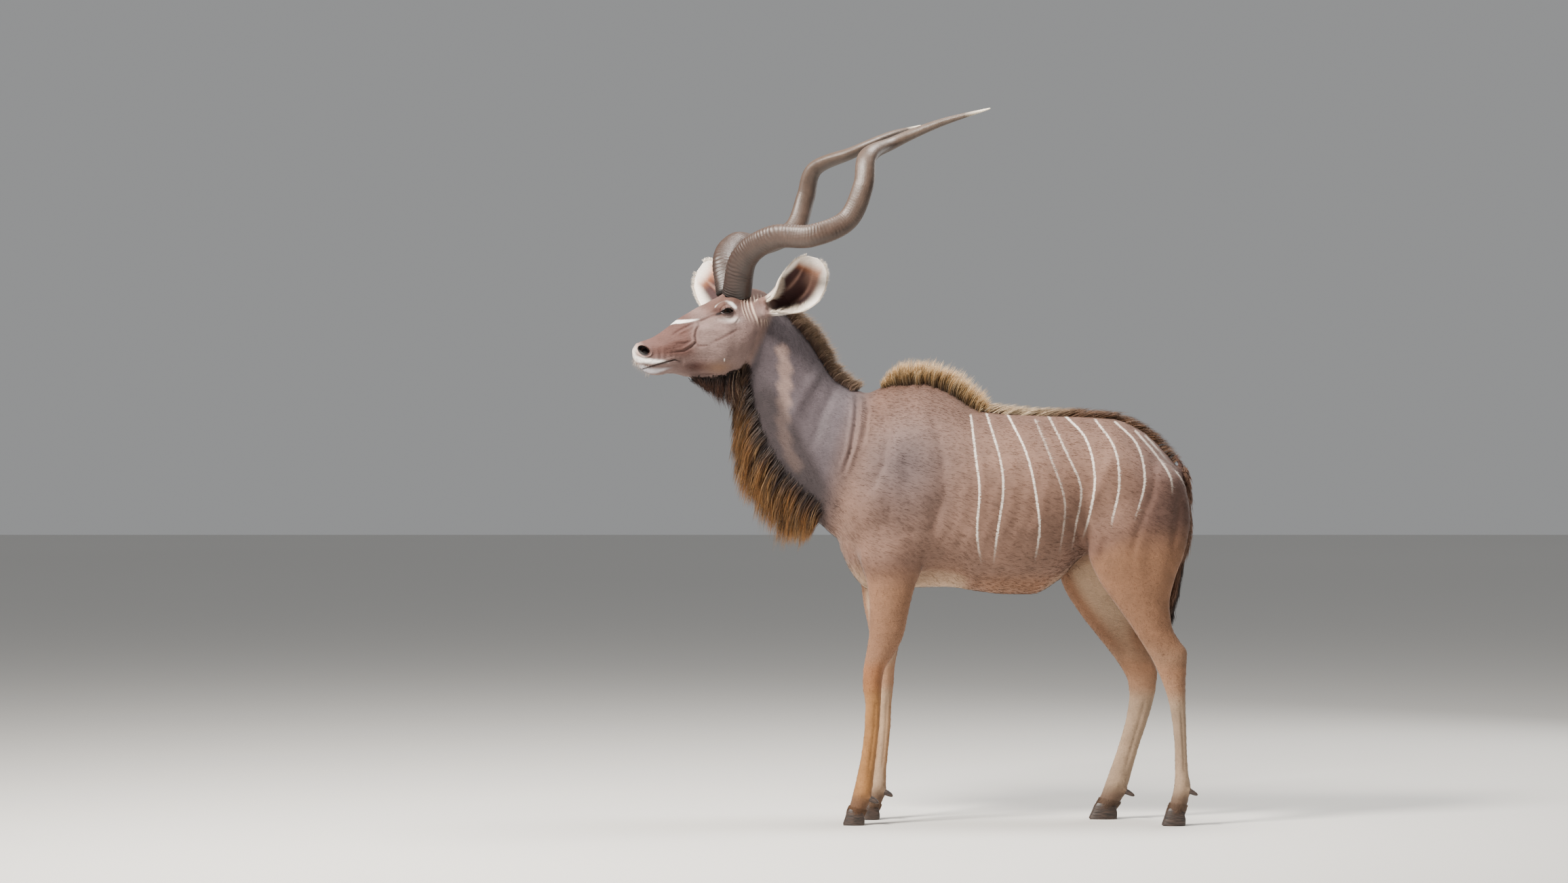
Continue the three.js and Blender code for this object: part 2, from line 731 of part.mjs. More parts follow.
// A slab between the outline of the side view and the same outline on the other side
function slabOver(outline, halfWidth) {
  const shape = new THREE.Shape(outline.map(([x, z]) => new THREE.Vector2(x, z)));
  const geometry = new THREE.ExtrudeGeometry(shape, { depth: 2 * halfWidth, bevelEnabled: false });
  geometry.rotateX(Math.PI / 2);
  geometry.translate(0, halfWidth, 0);
  return solidOf(geometry);
}

// A flat, tapered lock of hair that bends from its root over to its tip, ridged along its outer face
function lockSolid({ root, bend, tip, facing, width, thickness }) {
  const path = new THREE.QuadraticBezierCurve3(root, bend, tip);
  const widths = [0.5, 1, 0.78];
  const positions = [];
  widths.forEach((share, ring) => {
    const t = ring / widths.length;
    const centre = path.getPoint(t);
    const along = path.getTangent(t);
    const across = along.clone().cross(facing).normalize();
    const out = across.clone().cross(along);
    [
      [1, 0],
      [0, 1],
      [-1, 0],
    ].forEach(([sideways, outward]) => {
      const point = centre.clone().addScaledVector(across, (sideways * share * width) / 2);
      positions.push(...point.addScaledVector(out, (outward - 0.3) * share * thickness).toArray());
    });
  });
  positions.push(...tip.toArray());
  const index = [0, 1, 2];
  for (let ring = 0; ring < widths.length; ring++) {
    for (let k = 0; k < 3; k++) {
      const a = ring * 3 + k;
      const b = ring * 3 + ((k + 1) % 3);
      const last = ring === widths.length - 1;
      index.push(...(last ? [a, 9, b] : [a, a + 3, b, b, a + 3, b + 3]));
    }
  }
  const geometry = new THREE.BufferGeometry();
  geometry.setAttribute('position', new THREE.Float32BufferAttribute(positions, 3));
  geometry.setIndex(index);
  return solidOf(geometry);
}

// Locks along a line of roots: for a share of the line, rootAt gives the place on the skin, the way out
// of it, the place of the tip and the way the flat of the lock faces
function locksAlong(count, rootAt, { width, thickness, sink, lift, stray }, draw) {
  return Array.from({ length: count }, (_, i) => {
    const share = (i + 0.5 + 0.6 * (draw() - 0.5)) / count;
    const { at, out, end, facing } = rootAt(share);
    const lean = end.clone().sub(at);
    const length = lean.length();
    lean.multiplyScalar(LOCK_SHORTEST + (LOCK_LONGEST - LOCK_SHORTEST) * draw());
    lean.y += stray * length * (draw() - 0.5);
    const root = at.clone().addScaledVector(out, -sink);
    const tip = at.clone().add(lean);
    const bend = at.clone().addScaledVector(out, length * lift).addScaledVector(lean, 0.36);
    return lockSolid({ root, bend, tip, facing, width: width * (0.85 + 0.3 * draw()), thickness });
  });
}

// A smooth line through points of the side view
function edgeLine(points) {
  return new THREE.CatmullRomCurve3(points.map(([x, z]) => new THREE.Vector3(x, 0, z)));
}

// A point on the neck and the way out of its skin there; angle is measured from the throat towards one side
function onNeck(place, angle, side) {
  const station = neckStation(readNeck(place));
  const at = ringPoint(station, -Math.PI / 2 + angle, []);
  const centre = station.top.clone().add(station.bottom).multiplyScalar(0.5);
  const out = at.clone().sub(centre).normalize();
  if (side < 0) [at.y, out.y] = [2 * station.top.y - at.y, -out.y];
  return { at, out };
}

// A place on the top line of the torso, by how far along the body it is, and the way out of the back there
function onBack(x) {
  const row = TORSO.findIndex(([top], i) => i + 1 < TORSO.length && top >= x && TORSO[i + 1][0] <= x);
  const [rear, front] = [TORSO[row], TORSO[row + 1]];
  const share = (x - rear[0]) / (front[0] - rear[0]);
  const at = new THREE.Vector3(x, 0, rear[1] + (front[1] - rear[1]) * share);
  return { at, out: new THREE.Vector3(front[1] - rear[1], 0, rear[0] - front[0]).normalize() };
}

// The flesh: torso, neck, head and legs joined
const legRows = {
  foreleg_left: [FORELEG_LEFT, -1],
  foreleg_right: [FORELEG_RIGHT, 1],
  hindleg_left: [HINDLEG_LEFT, -1],
  hindleg_right: [HINDLEG_RIGHT, 1],
};
const torsoSkin = solidOf(skinOver(TORSO, torsoStation, { sides: 24, forms: BODY_FORMS }));
const neckSkin = solidOf(skinOver(NECK, neckStation, { sides: 20 }));
const headSkin = joined([
  solidOf(skinOver(HEAD, torsoStation, { perStep: 2, sides: 20, forms: HEAD_FORMS })),
  ...SIDES.map(earStem),
  ...SIDES.map(pedicle),
]);
const headCarved = SIDES.reduce(
  (head, side) => head.subtract(hornSolid(side, GAP)),
  withMouth(withNostrils(withEyes(headSkin))),
);
const headWhole = moved(headCarved, headMatrix);
const limbs = Object.values(legRows).map(([rows, side]) =>
  joined([
    solidOf(skinOver(rows, limbStation(side), { sides: 12, forms: BODY_FORMS })),
    ...SIDES.map((lateral) => dewclawPad(dewclawFrame(rows, side, lateral))),
  ]),
);
const whole = joined([torsoSkin, neckSkin, headWhole, ...limbs]);

// The body parted into its named pieces
const slab = (outline, lift) => slabOver(outline.map(([x, z]) => [x, z + lift]), LEG_CUT_HALF_SPAN);
const legSlabs = [FORELEG_CUT, HINDLEG_CUT];
const raised = joined(legSlabs.map((outline) => slab(outline, LEG_CUT_GAP)));
const [headPart, body] = parted(whole, ...HEAD_CUT);
const [neckPart, torsoPart] = parted(body.subtract(raised), ...NECK_CUT);
const legParts = legSlabs.map((outline) => body.intersect(slab(outline, 0)));

// Throat mane: rows of locks on the underside of the neck, which hang forward and down
const draw = seeded(7);
const throatEdge = edgeLine(THROAT_EDGE);
const THROAT_FROM = 2.25; // places on the neck, counted in stations
const THROAT_TO = 9.3;
const THROAT_ROWS = [
  { angle: 0.12, count: 12 },
  { angle: 0.42, count: 8 },
  { angle: 0.78, count: 6 },
];
const throatLocks = THROAT_ROWS.flatMap(({ angle, count }) =>
  SIDES.flatMap((side) =>
    locksAlong(
      count,
      (share) => {
        const place = THROAT_FROM + share * (THROAT_TO - THROAT_FROM);
        const { at, out } = onNeck(place, angle, side);
        const below = onNeck(place, 0, side).at;
        const end = throatEdge.getPointAt(share).lerp(new THREE.Vector3(below.x, 0, below.z), 0.45 * angle);
        end.y = below.y + side * (6 + 70 * angle);
        return { at, out, end, facing: new THREE.Vector3(-0.5 * angle, side, -0.3 * angle) };
      },
      { width: 48, thickness: 9, sink: 18, lift: 0.26, stray: 0.12 },
      draw,
    ),
  ),
);

// Nape mane: two close rows that stand out from the back of the neck
const NAPE_FROM = 2.8;
const NAPE_TO = 9.1;
const napeLocks = SIDES.flatMap((side) =>
  locksAlong(
    8,
    (share) => {
      const { at, out } = onNeck(NAPE_FROM + share * (NAPE_TO - NAPE_FROM), Math.PI - 0.06, side);
      const lean = out.clone().add(new THREE.Vector3(0.55, side * 0.16, -0.3)).normalize();
      const end = at.clone().addScaledVector(lean, 46 + 26 * Math.sin(Math.PI * share));
      return { at, out, end, facing: new THREE.Vector3(0, side, 0) };
    },
    { width: 50, thickness: 8, sink: 14, lift: 0.4, stray: 0.1 },
    draw,
  ),
);

// Crest over the withers, and the low mane along the back
const CREST_FROM = -84; // places on the back
const DORSAL_FROM = 222;
const DORSAL_TO = 822;
const crestEdge = edgeLine(CREST_EDGE);
const crestLocks = SIDES.flatMap((side) =>
  locksAlong(
    8,
    (share) => {
      const { at, out } = onBack(CREST_FROM + share * (DORSAL_FROM - CREST_FROM));
      at.y = side * 6;
      const end = crestEdge.getPointAt(share);
      end.y = side * 14;
      return { at, out, end, facing: new THREE.Vector3(0, side, 0) };
    },
    { width: 60, thickness: 8, sink: 14, lift: 0.3, stray: 0.1 },
    draw,
  ),
);
const dorsalEdge = edgeLine(DORSAL_EDGE);
const dorsalLocks = locksAlong(
  14,
  (share) => {
    const { at, out } = onBack(DORSAL_FROM + share * (DORSAL_TO - DORSAL_FROM));
    return { at, out, end: dorsalEdge.getPointAt(share), facing: new THREE.Vector3(0, -1, 0) };
  },
  { width: 44, thickness: 9, sink: 10, lift: 0.3, stray: 0.16 },
  draw,
);

// Beard: two rows under the jaw, in the head's own frame
const BEARD_FROM = -132;
const BEARD_TO = -256;
const JAW_LEVEL = -194;
const beardEdge = edgeLine(BEARD_EDGE);
const beardLocks = SIDES.flatMap((side) =>
  locksAlong(
    6,
    (share) => {
      const at = new THREE.Vector3(BEARD_FROM + share * (BEARD_TO - BEARD_FROM), side * 13, JAW_LEVEL);
      const out = new THREE.Vector3(-0.3, side * 0.3, -1).normalize();
      const end = beardEdge.getPointAt(share);
      end.y = side * 20;
      return { at, out, end, facing: new THREE.Vector3(-0.3, side, 0) };
    },
    { width: 44, thickness: 9, sink: 16, lift: 0.2, stray: 0.12 },
    draw,
  ),
);

// Tail: locks down its back and along both edges
const TAIL_ROWS = [-1, 0, 1];
const TUFT_FROM = 2.4; // places on the tail, counted in stations
const TUFT_TO = 8.2;
const tailLocks = TAIL_ROWS.flatMap((row) =>
  locksAlong(
    4,
    (share) => {
      const [, , rx, rz, , half] = readTail(TUFT_FROM + share * (TUFT_TO - TUFT_FROM));
      const at = new THREE.Vector3(rx - 2 - 7 * Math.abs(row), row * half * 0.66, rz);
      const out = new THREE.Vector3(1, row * 0.7, 0).normalize();
      return { at, out, end: at.clone().add(new THREE.Vector3(-10, row * 8, -94)), facing: out };
    },
    { width: 28, thickness: 8, sink: 7, lift: 0.12, stray: 0.04 },
    draw,
  ),
);

const [, neckBelowHead] = parted(joined([neckPart, ...throatLocks, ...napeLocks]), ...HEAD_CUT);
const [neckWhole] = parted(neckBelowHead, ...NECK_CUT);
const [headFull] = parted(headPart.add(moved(joined(beardLocks), headMatrix)), ...HEAD_CUT);
const [tailRoot, tailFree] = parted(solidOf(skinOver(TAIL, limbStation(1), { sides: 12 })), ...TAIL_CUT);
const torsoWhole = joined([torsoPart, tailRoot, ...crestLocks, ...dorsalLocks]);

const toGeometry = (solid) => {
  const { vertProperties, triVerts } = solid.getMesh();
  const geometry = new THREE.BufferGeometry();
  geometry.setAttribute('position', new THREE.BufferAttribute(Float32Array.from(vertProperties), 3));
  geometry.setIndex(new THREE.BufferAttribute(Uint32Array.from(triVerts), 1));
  return geometry;
};

const group = new THREE.Group();
function place(name, solid, material) {
  const mesh = new THREE.Mesh(toGeometry(largest(solid)), material);
  mesh.name = name;
  group.add(mesh);
}
place('torso', torsoWhole, GREY_COAT);
place('neck', neckWhole, GREY_COAT);
place('head', headFull, GREY_COAT);
const clearOfRump = torsoSkin.translate([1.5 * GAP, 0, 0]);
place('tail', joined([tailFree.subtract(clearOfRump), ...tailLocks]), GREY_COAT);
['foreleg', 'hindleg'].forEach((limb, k) => {
  SIDES.forEach((side) => {
    const name = `${limb}_${NAME_OF[side]}`;
    const half = legParts[k].trimByPlane([0, side, 0], 1);
    place(name, half, LEG_COAT);
    SIDES.forEach((lateral) => {
      const which = lateral * side > 0 ? 'outer' : 'inner';
      place(`hoof_${name}_${which}`, solidOf(toe(legRows[name][0], side, lateral)), HOOF);
      place(`dewclaw_${name}_${which}`, dewclaw(dewclawFrame(legRows[name][0], side, lateral)), HOOF);
    });
  });
});
SIDES.forEach((side) => {
  place(`horn_${NAME_OF[side]}`, moved(hornSolid(side), headMatrix), HORN);
  place(`ear_${NAME_OF[side]}`, moved(earSolid(side), headMatrix), GREY_COAT);
  place(`eye_${NAME_OF[side]}`, moved(ball(EYE_RADIUS, side), headMatrix), EYE);
});

const box = new THREE.Box3().setFromObject(group);
group.position.set(-(box.min.x + box.max.x) / 2, -(box.min.y + box.max.y) / 2, -box.min.z);
export default group;
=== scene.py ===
"""A greater kudu bull, life size: skin, coat, manes, horns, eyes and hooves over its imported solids.

Places of the body are given in millimetres in the working frame of the solids: +Z up, the bull looks
along -X and its left side is on -Y. The head has a frame of its own, with the muzzle along -X.
"""
import logging
import math
from dataclasses import dataclass, field
from enum import Enum

import bpy
from bpy.types import Material, NodeSocket, NodeTree
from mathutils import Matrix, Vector
import numpy as np


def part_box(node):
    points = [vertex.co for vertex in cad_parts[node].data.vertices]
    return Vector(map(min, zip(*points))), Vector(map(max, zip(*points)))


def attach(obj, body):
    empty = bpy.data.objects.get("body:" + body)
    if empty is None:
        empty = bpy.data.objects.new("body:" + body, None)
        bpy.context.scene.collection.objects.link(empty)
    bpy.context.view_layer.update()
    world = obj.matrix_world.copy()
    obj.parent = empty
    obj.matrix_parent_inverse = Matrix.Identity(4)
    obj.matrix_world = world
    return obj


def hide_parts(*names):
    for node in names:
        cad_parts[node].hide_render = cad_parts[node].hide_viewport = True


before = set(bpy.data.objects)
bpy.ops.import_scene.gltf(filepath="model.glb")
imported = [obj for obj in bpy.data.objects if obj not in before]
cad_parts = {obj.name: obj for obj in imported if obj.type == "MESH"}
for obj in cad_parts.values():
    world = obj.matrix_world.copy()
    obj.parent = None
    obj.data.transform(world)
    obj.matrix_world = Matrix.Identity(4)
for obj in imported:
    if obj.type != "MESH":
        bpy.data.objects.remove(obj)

LOG = logging.getLogger("kudu")
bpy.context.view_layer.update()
MM = 0.001
SIDES = (-1, 1)  # -1 is the bull's left, 1 its right
SIDE_NAME = {-1: "left", 1: "right"}
FLESH = ("torso", "neck", "head", "tail", "foreleg_left", "foreleg_right", "hindleg_left",
         "hindleg_right", "ear_left", "ear_right")

HEAD_AT = (-483.0, -70.0, 1651.0)
HEAD_TURN = math.radians(16.0)
EYE_AT = (-155.0, 68.0, 20.0)  # in the head's frame, on either side
EYE_RADIUS = 21.0
HORN_BASE_RADIUS = 43.0
HOOF_HEIGHT = 46.0
COAT_DEPTH = 3.0  # from the skin to the top of the short coat

# Torso: top x, top z, bottom x, bottom z, half width, narrowing of the top, of the bottom
TORSO = (
    (884, 1120, 874, 1030, 26, 0.1, 0.1), (880, 1142, 862, 975, 84, 0.2, 0.2),
    (862, 1172, 840, 930, 128, 0.25, 0.25), (826, 1214, 805, 906, 156, 0.3, 0.3),
    (786, 1257, 760, 896, 172, 0.34, 0.34), (742, 1292, 715, 890, 180, 0.38, 0.36),
    (652, 1328, 640, 886, 186, 0.4, 0.36), (563, 1335, 563, 874, 180, 0.36, 0.3),
    (474, 1337, 472, 790, 194, 0.32, 0.22), (385, 1340, 385, 746, 208, 0.32, 0.2),
    (296, 1344, 296, 747, 212, 0.34, 0.22), (207, 1359, 207, 757, 208, 0.4, 0.26),
    (118, 1413, 105, 770, 198, 0.52, 0.34), (29, 1445, 0, 768, 188, 0.58, 0.4),
    (-60, 1443, -85, 757, 176, 0.58, 0.44), (-110, 1428, -147, 762, 164, 0.52, 0.46),
    (-150, 1412, -192, 800, 148, 0.46, 0.44), (-185, 1380, -226, 862, 124, 0.4, 0.4),
    (-205, 1320, -246, 920, 92, 0.3, 0.3), (-222, 1240, -250, 985, 48, 0.2, 0.2),
)

# Neck: nape x, nape z, throat x, throat z, half width, sideways place, narrowing of nape, of throat
NECK = (
    (-40, 1395, -190, 880, 132, 0, 0.5, 0.4), (-110, 1408, -250, 925, 136, 0, 0.5, 0.42),
    (-168, 1417, -300, 970, 130, 0, 0.5, 0.44), (-215, 1431, -356, 1016, 121, -2, 0.48, 0.44),
    (-262, 1462, -415, 1074, 112, -6, 0.46, 0.42), (-300, 1517, -472, 1141, 103, -12, 0.42, 0.4),
    (-330, 1566, -512, 1215, 95, -21, 0.38, 0.36), (-358, 1602, -536, 1292, 88, -32, 0.34, 0.32),
    (-392, 1643, -550, 1362, 82, -44, 0.3, 0.3), (-425, 1678, -556, 1424, 77, -56, 0.26, 0.28),
    (-452, 1708, -552, 1482, 72, -66, 0.24, 0.26), (-490, 1725, -560, 1540, 60, -74, 0.2, 0.2),
)

# Head, in its own frame: top x, top z, bottom x, bottom z, half width, narrowing of top, of bottom
HEAD = (
    (14, 62, -24, -66, 40, 0.1, 0.1), (4, 84, -44, -112, 66, 0.15, 0.2),
    (-26, 98, -72, -152, 80, 0.2, 0.3), (-66, 104, -104, -180, 86, 0.25, 0.42),
    (-106, 99, -136, -194, 92, 0.3, 0.5), (-140, 84, -166, -201, 97, 0.34, 0.56),
    (-166, 71, -192, -203, 90, 0.34, 0.58), (-196, 55, -222, -202, 78, 0.32, 0.56),
    (-230, 40, -252, -199, 68, 0.3, 0.54), (-265, 20, -282, -193, 60, 0.28, 0.5),
    (-300, 0, -308, -187, 54, 0.26, 0.46), (-334, -27, -336, -186, 49, 0.24, 0.4),
    (-368, -51, -364, -191, 46, 0.2, 0.34), (-398, -66, -390, -187, 46, 0.14, 0.3),
    (-421, -74, -412, -173, 45, 0.1, 0.26), (-437, -84, -430, -160, 38, 0.08, 0.2),
    (-445, -98, -441, -146, 24, 0.05, 0.1), (-449, -112, -448, -134, 11, 0.0, 0.0),
)

# Legs: front x, front z, rear x, rear z, distance from the middle plane, half width
FORELEG_LEFT = (
    (-150, 1070, 40, 1070, 84, 50), (-178, 970, 50, 970, 94, 56), (-182, 877, 32, 872, 102, 50),
    (-158, 790, 4, 780, 105, 45), (-149, 700, -16, 697, 103, 41), (-151, 623, -32, 620, 100, 36),
    (-160, 561, -62, 556, 97, 32), (-169, 506, -97, 501, 96, 32), (-171, 452, -104, 450, 96, 32),
    (-163, 395, -107, 393, 96, 26), (-165, 324, -111, 322, 96, 23), (-175, 236, -121, 234, 96, 22),
    (-190, 159, -130, 154, 96, 25), (-202, 108, -136, 99, 96, 30), (-211, 73, -150, 58, 96, 27),
    (-220, HOOF_HEIGHT, -164, 31, 96, 28),
)
FORELEG_RIGHT = (
    (-160, 1070, 35, 1070, 84, 50), (-192, 970, 40, 970, 94, 56), (-196, 871, 16, 866, 102, 50),
    (-174, 786, -10, 778, 105, 45), (-164, 709, -22, 702, 103, 41), (-150, 642, -32, 636, 100, 36),
    (-138, 570, -44, 566, 97, 32), (-127, 506, -56, 503, 96, 32), (-124, 450, -60, 448, 96, 32),
    (-119, 392, -66, 390, 96, 26), (-121, 309, -70, 307, 96, 23), (-127, 219, -78, 220, 96, 22),
    (-138, 150, -84, 150, 96, 25), (-144, 108, -84, 104, 96, 30), (-154, 74, -97, 60, 96, 27),
    (-165, HOOF_HEIGHT, -110, 31, 96, 28),
)
HINDLEG_LEFT = (
    (620, 1200, 790, 1210, 80, 36), (564, 1120, 878, 1120, 104, 70), (552, 1010, 899, 1000, 110, 72),
    (561, 892, 882, 892, 116, 66), (596, 805, 850, 805, 119, 57), (650, 722, 832, 722, 120, 48),
    (704, 645, 840, 650, 119, 39), (742, 585, 864, 604, 118, 32), (775, 529, 891, 563, 117, 28),
    (799, 476, 887, 507, 116, 27.5), (819, 420, 885, 447, 116, 26), (834, 348, 886, 363, 116, 22.5),
    (843, 260, 889, 264, 116, 21.5), (845, 178, 893, 177, 116, 24), (842, 129, 901, 127, 116, 30),
    (833, 88, 893, 80, 116, 27), (820, 50, 879, 36, 116, 29),
)
HINDLEG_RIGHT = (
    (600, 1200, 780, 1210, 80, 36), (514, 1120, 870, 1120, 104, 70), (482, 1010, 893, 1000, 110, 72),
    (472, 880, 868, 890, 116, 66), (496, 775, 822, 800, 119, 57), (546, 690, 786, 708, 120, 48),
    (603, 615, 778, 620, 119, 39), (654, 551, 793, 545, 118, 32), (688, 503, 815, 484, 117, 28),
    (711, 456, 811, 438, 116, 27.5), (716, 408, 801, 389, 116, 26), (707, 342, 780, 317, 116, 22.5),
    (684, 256, 753, 236, 116, 21.5), (658, 178, 730, 155, 116, 24), (640, 128, 716, 104, 116, 30),
    (624, 84, 698, 66, 116, 27), (604, 46, 676, 36, 116, 29),
)
LEGS = {
    "foreleg_left": (FORELEG_LEFT, -1), "foreleg_right": (FORELEG_RIGHT, 1),
    "hindleg_left": (HINDLEG_LEFT, -1), "hindleg_right": (HINDLEG_RIGHT, 1),
}

# Tail: front x, front z, rear x, rear z, distance from the middle plane, half width
TAIL = (
    (846, 1196, 868, 1216, 0, 22), (872, 1150, 900, 1166, 0, 24), (887, 1100, 911, 1104, 0, 25),
    (889, 1010, 912, 1012, 0, 27), (881, 930, 907, 930, 0, 30), (866, 870, 889, 872, 0, 32),
    (854, 810, 877, 812, 0, 32), (845, 750, 866, 752, 0, 28), (838, 703, 853, 705, 0, 18),
    (835, 680, 842, 682, 0, 6),
)

# Horn centreline in the head's frame: forward, outward, up
HORN_PATH = (
    (105, 36, 80), (100, 116, 194), (30, 212, 252), (-69, 302, 254), (-185, 313, 307),
    (-234, 332, 421), (-254, 306, 511), (-366, 222, 567), (-503, 270, 628), (-649, 362, 673),
)
HORN_TAPER = (1, 0.93, 0.85, 0.77, 0.72, 0.68, 0.6, 0.46, 0.3, 0.06)

# Ears, in the head's frame: root, elbow and tip of the middle line, and the way the cup opens
EARS = {
    -1: ((-24, -98, 36), (82, -142, 70), (112, -160, 197), (0.03, -0.98, 0.05)),
    1: ((-42, 100, 28), (-98, 180, 78), (-150, 278, 180), (-0.75, -0.59, 0.0)),
}
# Ear stations: share of the length, radius of the curl, half angle of the curl in degrees
EAR_CURL = (
    (0, 31, 150), (0.12, 39, 140), (0.26, 52, 115), (0.42, 67, 93), (0.58, 77, 77),
    (0.74, 81, 60), (0.87, 88, 42), (0.95, 94, 25), (1, 96, 8),
)
EAR_BOW = 20.0
EAR_BACK = 20.0

# Outer edges of the manes in the side view: x, z
THROAT_EDGE = ((-352, 900), (-400, 868), (-452, 866), (-480, 898), (-512, 940), (-560, 1004),
               (-590, 1054), (-602, 1112), (-604, 1185), (-602, 1274), (-597, 1362))
CREST_EDGE = ((-104, 1450), (-76, 1494), (-20, 1526), (51, 1524), (120, 1510), (168, 1488),
              (214, 1446), (268, 1390))
DORSAL_EDGE = ((278, 1380), (400, 1364), (560, 1358), (690, 1338), (780, 1288), (866, 1204))
BEARD_EDGE = ((-84, -312), (-122, -312), (-152, -300), (-188, -258), (-230, -206))  # in the head's frame

# White stripes down the flank: x, z from the back downwards
STRIPES = (
    ((185, 1336), (198, 1186), (207, 1099), (200, 945), (220, 840)),
    ((238, 1340), (277, 1186), (284, 1099), (264, 945), (255, 840)),
    ((308, 1336), (363, 1208), (396, 1033), (402, 967), (387, 846)),
    ((396, 1322), (440, 1197), (484, 1055), (475, 923), (468, 868)),
    ((440, 1336), (495, 1208), (538, 1099), (523, 978), (510, 879)),
    ((495, 1336), (556, 1263), (582, 1142), (571, 1033), (545, 923)),
    ((593, 1322), (648, 1230), (659, 1099), (637, 989), (635, 956)),
    ((659, 1314), (725, 1241), (743, 1121), (714, 1011), (705, 984)),
    ((725, 1285), (795, 1197), (830, 1131), (835, 1066)),
    ((758, 1270), (846, 1164), (883, 1099)),
)
STRIPE_STRENGTH = (0.9, 0.85, 1.0, 0.35, 0.6, 1.0, 0.85, 0.8, 0.6, 0.5)


Array = np.ndarray
Mesh = tuple[np.ndarray, np.ndarray]  # points and faces


def linear(code: str) -> tuple[float, float, float]:
    """Turn an sRGB hex colour into linear red, green and blue between 0 and 1."""
    values = [int(code[i:i + 2], 16) / 255 for i in (1, 3, 5)]
    r, g, b = (v / 12.92 if v <= 0.04045 else ((v + 0.055) / 1.055) ** 2.4 for v in values)
    return r, g, b


def smoothstep(low: float, high: float, value: Array) -> Array:
    """Rise smoothly from 0 at low to 1 at high, or fall where high is the smaller."""
    share = np.clip((value - low) / (high - low), 0.0, 1.0)
    return share * share * (3 - 2 * share)


def unit(vectors: Array) -> Array:
    """Scale each vector to length 1."""
    return vectors / np.maximum(np.linalg.norm(vectors, axis=-1, keepdims=True), 1e-9)


def turned(points: Array, angle: float) -> Array:
    """Turn points about the upright axis."""
    c, s = math.cos(angle), math.sin(angle)
    x, y, z = points[..., 0], points[..., 1], points[..., 2]
    return np.stack([c * x - s * y, s * x + c * y, z], axis=-1)


def head_to_body(points: Array) -> Array:
    """Move points from the head's frame to the body's."""
    return turned(points, HEAD_TURN) + HEAD_AT


def body_to_head(points: Array) -> Array:
    """Move points from the body's frame to the head's."""
    return turned(points - HEAD_AT, -HEAD_TURN)


def working_origin() -> Array:
    """The shift from the body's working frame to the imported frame, in millimetres, read from an eye."""
    low, high = (np.array(corner, float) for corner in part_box("eye_left"))
    shift = (low + high) / 2 / MM - head_to_body(np.array([EYE_AT[0], -EYE_AT[1], EYE_AT[2]]))
    shift[2] = 0.0
    return shift


ORIGIN = working_origin()


class Reader:
    """A smooth curve through rows of numbers that never swings past them."""

    def __init__(self, rows: tuple) -> None:
        """Keep the rows and work out the slopes."""
        self.values = np.array(rows, float).reshape(len(rows), -1)
        steps = np.diff(self.values, axis=0)
        before, after = steps[:-1], steps[1:]
        alike = before * after > 0
        total = np.where(alike, before + after, 1.0)
        self.slopes = np.concatenate([steps[:1], np.where(alike, 2 * before * after / total, 0), steps[-1:]])

    def __call__(self, place: Array) -> Array:
        """One row of numbers for each place, counted in rows."""
        place = np.asarray(place, float)
        i = np.clip(np.floor(place).astype(int), 0, len(self.values) - 2)
        f = (place - i)[..., None]
        low, high = self.values[i], self.values[i + 1]
        return (low + (high - low) * (f * f * (3 - 2 * f)) + self.slopes[i] * f * (1 - f) ** 2
                - self.slopes[i + 1] * f * f * (1 - f))


class Line:
    """A smooth open curve through points, read by its share of the length."""

    def __init__(self, points: Array, samples: int = 400) -> None:
        """Sample a centripetal Catmull-Rom curve through the points."""
        knots = np.asarray(points, float)
        knots = np.concatenate([[2 * knots[0] - knots[1]], knots, [2 * knots[-1] - knots[-2]]])
        spans = len(knots) - 3
        place = np.linspace(0, spans, samples)
        i = np.minimum(place.astype(int), spans - 1)
        f = (place - i)[:, None]
        p0, p1, p2, p3 = (knots[i + k] for k in range(4))
        d0, d1, d2 = (np.maximum(np.linalg.norm(b - a, axis=1, keepdims=True), 1e-6) ** 0.5
                      for a, b in ((p0, p1), (p1, p2), (p2, p3)))
        t1 = ((p1 - p0) / d0 - (p2 - p0) / (d0 + d1) + (p2 - p1) / d1) * d1
        t2 = ((p2 - p1) / d1 - (p3 - p1) / (d1 + d2) + (p3 - p2) / d2) * d1
        self.samples = (p1 + t1 * f + (-3 * p1 + 3 * p2 - 2 * t1 - t2) * f ** 2
                        + (2 * p1 - 2 * p2 + t1 + t2) * f ** 3)
        steps = np.linalg.norm(np.diff(self.samples, axis=0), axis=1)
        self.lengths = np.concatenate([[0], np.cumsum(steps)])
        self.lengths /= self.lengths[-1]

    def __call__(self, share: Array) -> Array:
        """Points at the given shares of the length."""
        return np.stack([np.interp(share, self.lengths, column) for column in self.samples.T], axis=-1)


def side_line(points: tuple) -> Line:
    """A line in the side view, given by x and z, as a line in space on the middle plane."""
    return Line(np.array([(x, 0.0, z) for x, z in points]))


def line_distance(points: Array, knots: Array) -> tuple[Array, Array]:
    """Measure from points to a chain of straight pieces.

    Args:
        points: Places, one row each.
        knots: The chain's corners.

    Returns:
        The distance to the chain, and the share of the chain's corners passed at the nearest place.
    """
    best = np.full(len(points), 1e9)
    share = np.zeros(len(points))
    for i, (start, end) in enumerate(zip(knots[:-1], knots[1:])):
        run = end - start
        t = np.clip((points - start) @ run / max(run @ run, 1e-9), 0, 1)
        far = np.linalg.norm(points - start - t[:, None] * run, axis=1)
        closer = far < best
        best = np.where(closer, far, best)
        share = np.where(closer, (i + t) / (len(knots) - 1), share)
    return best, share


